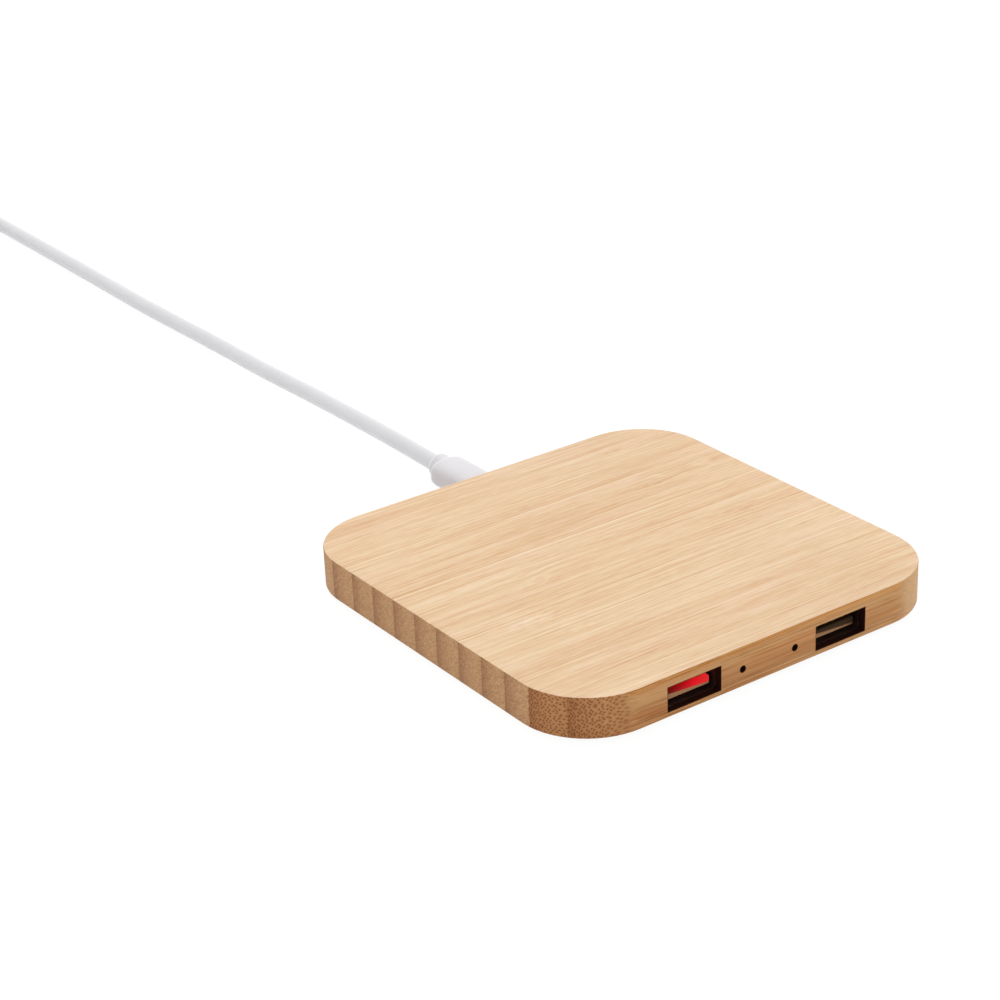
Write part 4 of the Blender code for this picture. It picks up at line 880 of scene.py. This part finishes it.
def circuit_board():
    """Green solder mask with a faint glass weave, copper runs under it, and vias."""
    look = Look("circuit_board")
    weave = look.times(look.math("SINE", look.times(look.x, 9)), look.math("SINE", look.times(look.y, 9)))
    flat = look.vector(look.x, look.y, 0.0)
    bricks = look.add("TexBrick", RUN_PATTERN, Vector=flat, Scale=0.32, Mortar_Size=0.05, Mortar_Smooth=0.2)
    runs = look.steps(bricks.outputs["Fac"], 0.2, 0.8)
    holes = look.add("TexVoronoi", {"voronoi_dimensions": "2D"}, Vector=flat, Scale=0.28, Randomness=0.8)
    away = holes.outputs["Distance"]
    via = look.steps(away, 0.13, 0.09)
    cloud = look.noise(look.place, 0.2)
    colour = look.shades(cloud, MASK)
    colour = look.mix(look.times(runs, 0.6), colour, shade(*COPPER_RUN))
    colour = look.mix(via, colour, shade(*VIA))
    colour = look.mix(look.steps(away, 0.06, 0.04), colour, shade(*VIA_BORE))
    core = look.tones(look.noise(look.place, (1, 1, 9)), BOARD_CORE, 0.4, 0.6)
    colour = look.mix(look.steps(look.facing()[2], 0.3, 0.6), core, colour)
    look.bump(look.total(runs, look.weigh((weave, 0.12), (via, 0.5))), 0.3, 0.03)
    return look.paint(Base_Color=colour, Roughness=look.total(0.32, look.weigh((weave, 0.03), (cloud, 0.08))))


ALUMINIUM = ((188, 190, 192), (222, 223, 224))
CAN_BLACK = (24, 24, 26)
CAN_FOOT = (0.75, 0.68)  # above its underside
CAN_LID = (0.6, 0.3)  # below its top
CAN_BAND_Y = (-29.6, -29.8)


def can(name):
    """An aluminium can with a dark part of its lid for polarity and a dark foot."""
    look = Look(name)
    low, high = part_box("capacitor_1")
    streak = look.noise((look.x, look.y, look.times(look.z, 0.2)), 6)
    foot = look.steps(look.z, *[low.z / MM + up for up in CAN_FOOT])
    lid = look.steps(look.z, *[high.z / MM - down for down in CAN_LID])
    lid = look.times(look.steps(look.facing()[2], 0.8, 0.95), lid)
    dark = look.math("MAXIMUM", foot, look.times(lid, look.steps(look.y, *CAN_BAND_Y)))
    colour = look.mix(dark, look.shades(streak, ALUMINIUM), shade(*CAN_BLACK))
    look.bump(streak, 0.1, 0.01)
    rough = look.total(0.26, look.weigh((streak, 0.14), (dark, 0.3)))
    return look.paint(Base_Color=colour, Roughness=rough, Metallic=look.minus(1, dark))


ENAMEL = ((186, 96, 48), (222, 136, 82))
ENAMEL_DARK = (150, 70, 34)


def winding():
    """Enamelled copper: a warm metal with slow changes of tone along the wire."""
    look = Look("enamelled_copper")
    angle = look.math("ARCTAN2", look.y, look.x)
    slow = look.noise((look.times(angle, 2), look.times(look.z, 2), 0.0), 1.5)
    fine = look.noise(look.place, 3.2, 3)
    colour = look.mix(look.steps(fine, 0.58, 0.75), look.shades(slow, ENAMEL), shade(*ENAMEL_DARK))
    look.bump(fine, 0.1, 0.01)
    rough = look.total(0.28, look.times(fine, 0.15))
    return look.paint(Base_Color=colour, Roughness=rough, Metallic=0.85, Coat_Weight=0.6, Coat_Roughness=0.15)


AMBER = ((186, 118, 34), (208, 146, 58))
CREASE_TONE = (226, 176, 92)


def film():
    """Amber tape: clear amber with faint creases and a grain of glue under it."""
    look = Look("amber_tape")
    crease = look.noise((look.x, look.y, 0.0), (0.25, 1.1, 1), 3)
    glue = look.noise(look.place, 2.2, 3)
    colour = look.tones(glue, AMBER, 0.35)
    colour = look.mix(look.steps(crease, 0.56, 0.64), colour, shade(*CREASE_TONE))
    look.bump(crease, 0.2, 0.04)
    rough = look.total(0.25, look.times(glue, 0.2))
    return look.paint(Base_Color=colour, Roughness=rough, Coat_Weight=0.8, Coat_Roughness=0.08)


FERRITE = ((44, 44, 47), (72, 71, 72))
SCORE_TONE = (26, 26, 28)


def sintered():
    """Ferrite: dark, finely grained and scored into small tiles."""
    look = Look("ferrite")
    grain = look.noise(look.place, 5, 3, 0.7)
    flat = look.vector(look.x, look.y, 0.0)
    tiles = look.add("TexBrick", {"offset": 0.0}, Vector=flat, Scale=0.5, Mortar_Size=0.02, Row_Height=0.5)
    score = look.steps(tiles.outputs["Fac"], 0.3, 0.8)
    colour = look.mix(look.times(score, 0.6), look.tones(grain, FERRITE, 0.35), shade(*SCORE_TONE))
    look.bump(look.total(grain, look.times(score, -0.8)), 0.3, 0.03)
    return look.paint(Base_Color=colour, Roughness=look.total(0.5, look.times(grain, 0.2)))


def lens(name, colours, glow=0.0):
    """A light's clear moulded body, with a slow swirl and, if asked, its own light."""
    look = Look(name)
    swirl = look.noise((look.x, look.y, look.times(look.z, 2)), 0.9, 3)
    colour = look.tones(swirl, colours)
    if glow:
        look.paint(Emission_Color=colour, Emission_Strength=glow)
    look.bump(swirl, 0.05, 0.02)
    return look.paint(Base_Color=colour, Roughness=look.total(0.12, look.times(swirl, 0.1)), Coat_Weight=0.5)


def dress(look, *starts):
    """Gives a look to each node whose name starts so."""
    for name, obj in NODES.items():
        if name.startswith(starts):
            obj.data.materials.clear()
            obj.data.materials.append(look)


CAD_CRISP = math.radians(30)
WELD_GAP = 0.000001


def soften():
    """Shades round faces smooth and keeps edges crisp, without touching the CAD's own points."""
    for obj in NODES.values():
        mesh = obj.data
        if mesh.has_custom_normals:
            bpy.context.view_layer.objects.active = obj
            with bpy.context.temp_override(object=obj, active_object=obj, mesh=mesh):
                bpy.ops.mesh.customdata_custom_splitnormals_clear()
        mesh.shade_smooth()
        obj.modifiers.new("weld", "WELD").merge_threshold = WELD_GAP
        obj.modifiers.new("edges", "EDGE_SPLIT").split_angle = CAD_CRISP


# Stage
FLOOR_HALF = 6
FLOOR_TONE = 0.9  # what the floor sends back to the object
FLOOR_GLOW = 0.94  # what the eye sees of it even in shadow
FLOOR_SHADOW = 0.1
SKY = 0.72
WHITE = 1.0
KEY_LAMP = ((0.3, 0.6, 3.6), 2, 47)  # place, side and power
SIDE_LAMP = ((3.2, 0.4, 1.3), 1.5, 34)


def add_node(tree, kind, *sources, **values):
    """Adds a node, links its first inputs to other nodes' outputs and sets more of them by name."""
    made = tree.nodes.new("ShaderNode" + kind)
    for source, socket in zip(sources, made.inputs):
        tree.links.new(source, socket)
    for name, value in values.items():
        made.inputs[name].default_value = value
    return made


def seen_ray(tree):
    """1 where the camera looks, straight or by way of gloss or glass."""
    path = add_node(tree, "LightPath")
    found = path.outputs["Is Camera Ray"]
    for name in ("Is Glossy Ray", "Is Transmission Ray"):
        both = add_node(tree, "Math", found, path.outputs[name])
        both.operation = "ADD"
        both.use_clamp = True
        found = both.outputs[0]
    return found


def choose_by_ray(tree, hidden, seen, end):
    """One shader for what the camera sees and another for the light that the rest gets."""
    chosen = add_node(tree, "MixShader", seen_ray(tree), hidden.outputs[0], seen.outputs[0])
    add_node(tree, end, chosen.outputs[0])


def floor():
    corners = [(-1, -1), (1, -1), (1, 1), (-1, 1)]
    mesh = bpy.data.meshes.new("floor")
    mesh.from_pydata([(x * FLOOR_HALF, y * FLOOR_HALF, 0) for x, y in corners], [], [(0, 1, 2, 3)])
    material = bpy.data.materials.new("floor")
    material.use_nodes = True
    tree = material.node_tree
    tree.nodes.clear()
    paper = add_node(tree, "BsdfDiffuse", Color=(FLOOR_TONE, FLOOR_TONE, FLOOR_TONE, 1))
    faint = add_node(tree, "BsdfDiffuse", Color=(FLOOR_SHADOW, FLOOR_SHADOW, FLOOR_SHADOW, 1))
    glow = add_node(tree, "Emission", Strength=FLOOR_GLOW)
    both = add_node(tree, "AddShader", faint.outputs[0], glow.outputs[0])
    choose_by_ray(tree, paper, both, "OutputMaterial")
    mesh.materials.append(material)
    stand("floor", mesh)


def surroundings():
    world = bpy.data.worlds.new("studio")
    bpy.context.scene.world = world
    world.use_nodes = True
    tree = world.node_tree
    tree.nodes.clear()
    hidden = add_node(tree, "Background", Strength=SKY)
    seen = add_node(tree, "Background", Strength=WHITE)
    choose_by_ray(tree, hidden, seen, "OutputWorld")


def lamp(name, place, side, power):
    """A square lamp that shines on the pad's middle."""
    data = bpy.data.lights.new(name, "AREA")
    data.shape = "SQUARE"
    data.size = side
    data.energy = power
    obj = stand(name, data)
    obj.location = place
    obj.rotation_euler = Vector(place).to_track_quat("Z", "Y").to_euler()


camera()
white = moulded("white_tpe", ((229, 227, 230), (234, 232, 235)), 0.42, 2.2, 0.05, rims=GRIP_RIM_HIGHLIGHTS, soft=0.7)
jacket = moulded("white_jacket", ((232, 232, 235), (236, 236, 239)), 0.45, 1.8, 0.02, coat=0.6)
cord(jacket, plug_grip(white))

cover = moulded("black_abs", ((30, 30, 32), (40, 40, 42)), 0.55, 2.2, 0.35, dust=(90, 88, 84))
rubber = moulded("rubber", ((50, 50, 52), (66, 66, 67)), 0.82, 3.4, 0.4, dust=(120, 118, 112), level=0.3)
chip = moulded("chip", ((26, 26, 28), (38, 38, 39)), 0.5, 4.5, 0.3, dust=(110, 110, 108))
insulator = moulded("insulator", ((24, 24, 25), (34, 34, 35)), 0.45, 3.0, 0.2)
pale = moulded("white_plastic", ((234, 234, 236), (242, 242, 243)), 0.3, 1.6, 0.06)
screw_steel = metal("screw_steel", ((150, 150, 148), (205, 204, 200)), 0.32, "z", wear_and_shade=(120, 116, 110))
# Painted shade: the shells' steel is a dark warm brown, standing in for the shade inside the ports
shaded_shell_steel = metal("shaded_shell_steel", ((80, 56, 48), (106, 80, 68)), 0.6)
plug_steel = metal("plug_steel", ((190, 190, 188), (222, 221, 218)), 0.24)
# Painted shade: the contacts' gold is dark, and darker in patches, for the shade they sit in inside the ports
shaded_gold = metal("gold_in_painted_shade", ((112, 82, 42), (150, 114, 62)), 0.45, wear_and_shade=(70, 56, 40))

dress(Bamboo().finish(), "bamboo_body")
dress(cover, "base_cover")
dress(rubber, "rubber_foot")
dress(screw_steel, "cover_screw", "board_screw")
dress(shaded_shell_steel, "usb_a_shell", "micro_usb_shell")
dress(plug_steel, "plug_tip", "usb_a_plug_shell", "crystal")
dress(circuit_board(), "main_board")
dress(tongue("port_red", "usb_a_tongue_left", glow=True), "usb_a_tongue_left")
dress(tongue("port_black", "usb_a_tongue_right"), "usb_a_tongue_right")
dress(shaded_gold, "usb_a_contact")
dress(chip, "charger_chip", "port_chip", "inductor")
dress(insulator, "plug_insert", "micro_usb_tongue")
dress(lens("smoked_light", ((46, 40, 36), (70, 62, 56))), "led_pin")
dress(lens("red_light", ((236, 24, 28), (250, 60, 50)), 1.2), "led_port")
dress(can("capacitor_can"), "capacitor")
dress(winding(), "transmit_coil")
dress(sintered(), "ferrite_sheet")
dress(film(), "coil_tape")
dress(white, "usb_a_plug_overmould")
dress(pale, "cable_tie", "usb_a_plug_insert")
soften()

floor()
surroundings()
lamp("key", *KEY_LAMP)
lamp("side", *SIDE_LAMP)
bpy.context.scene.view_settings.view_transform = "Standard"
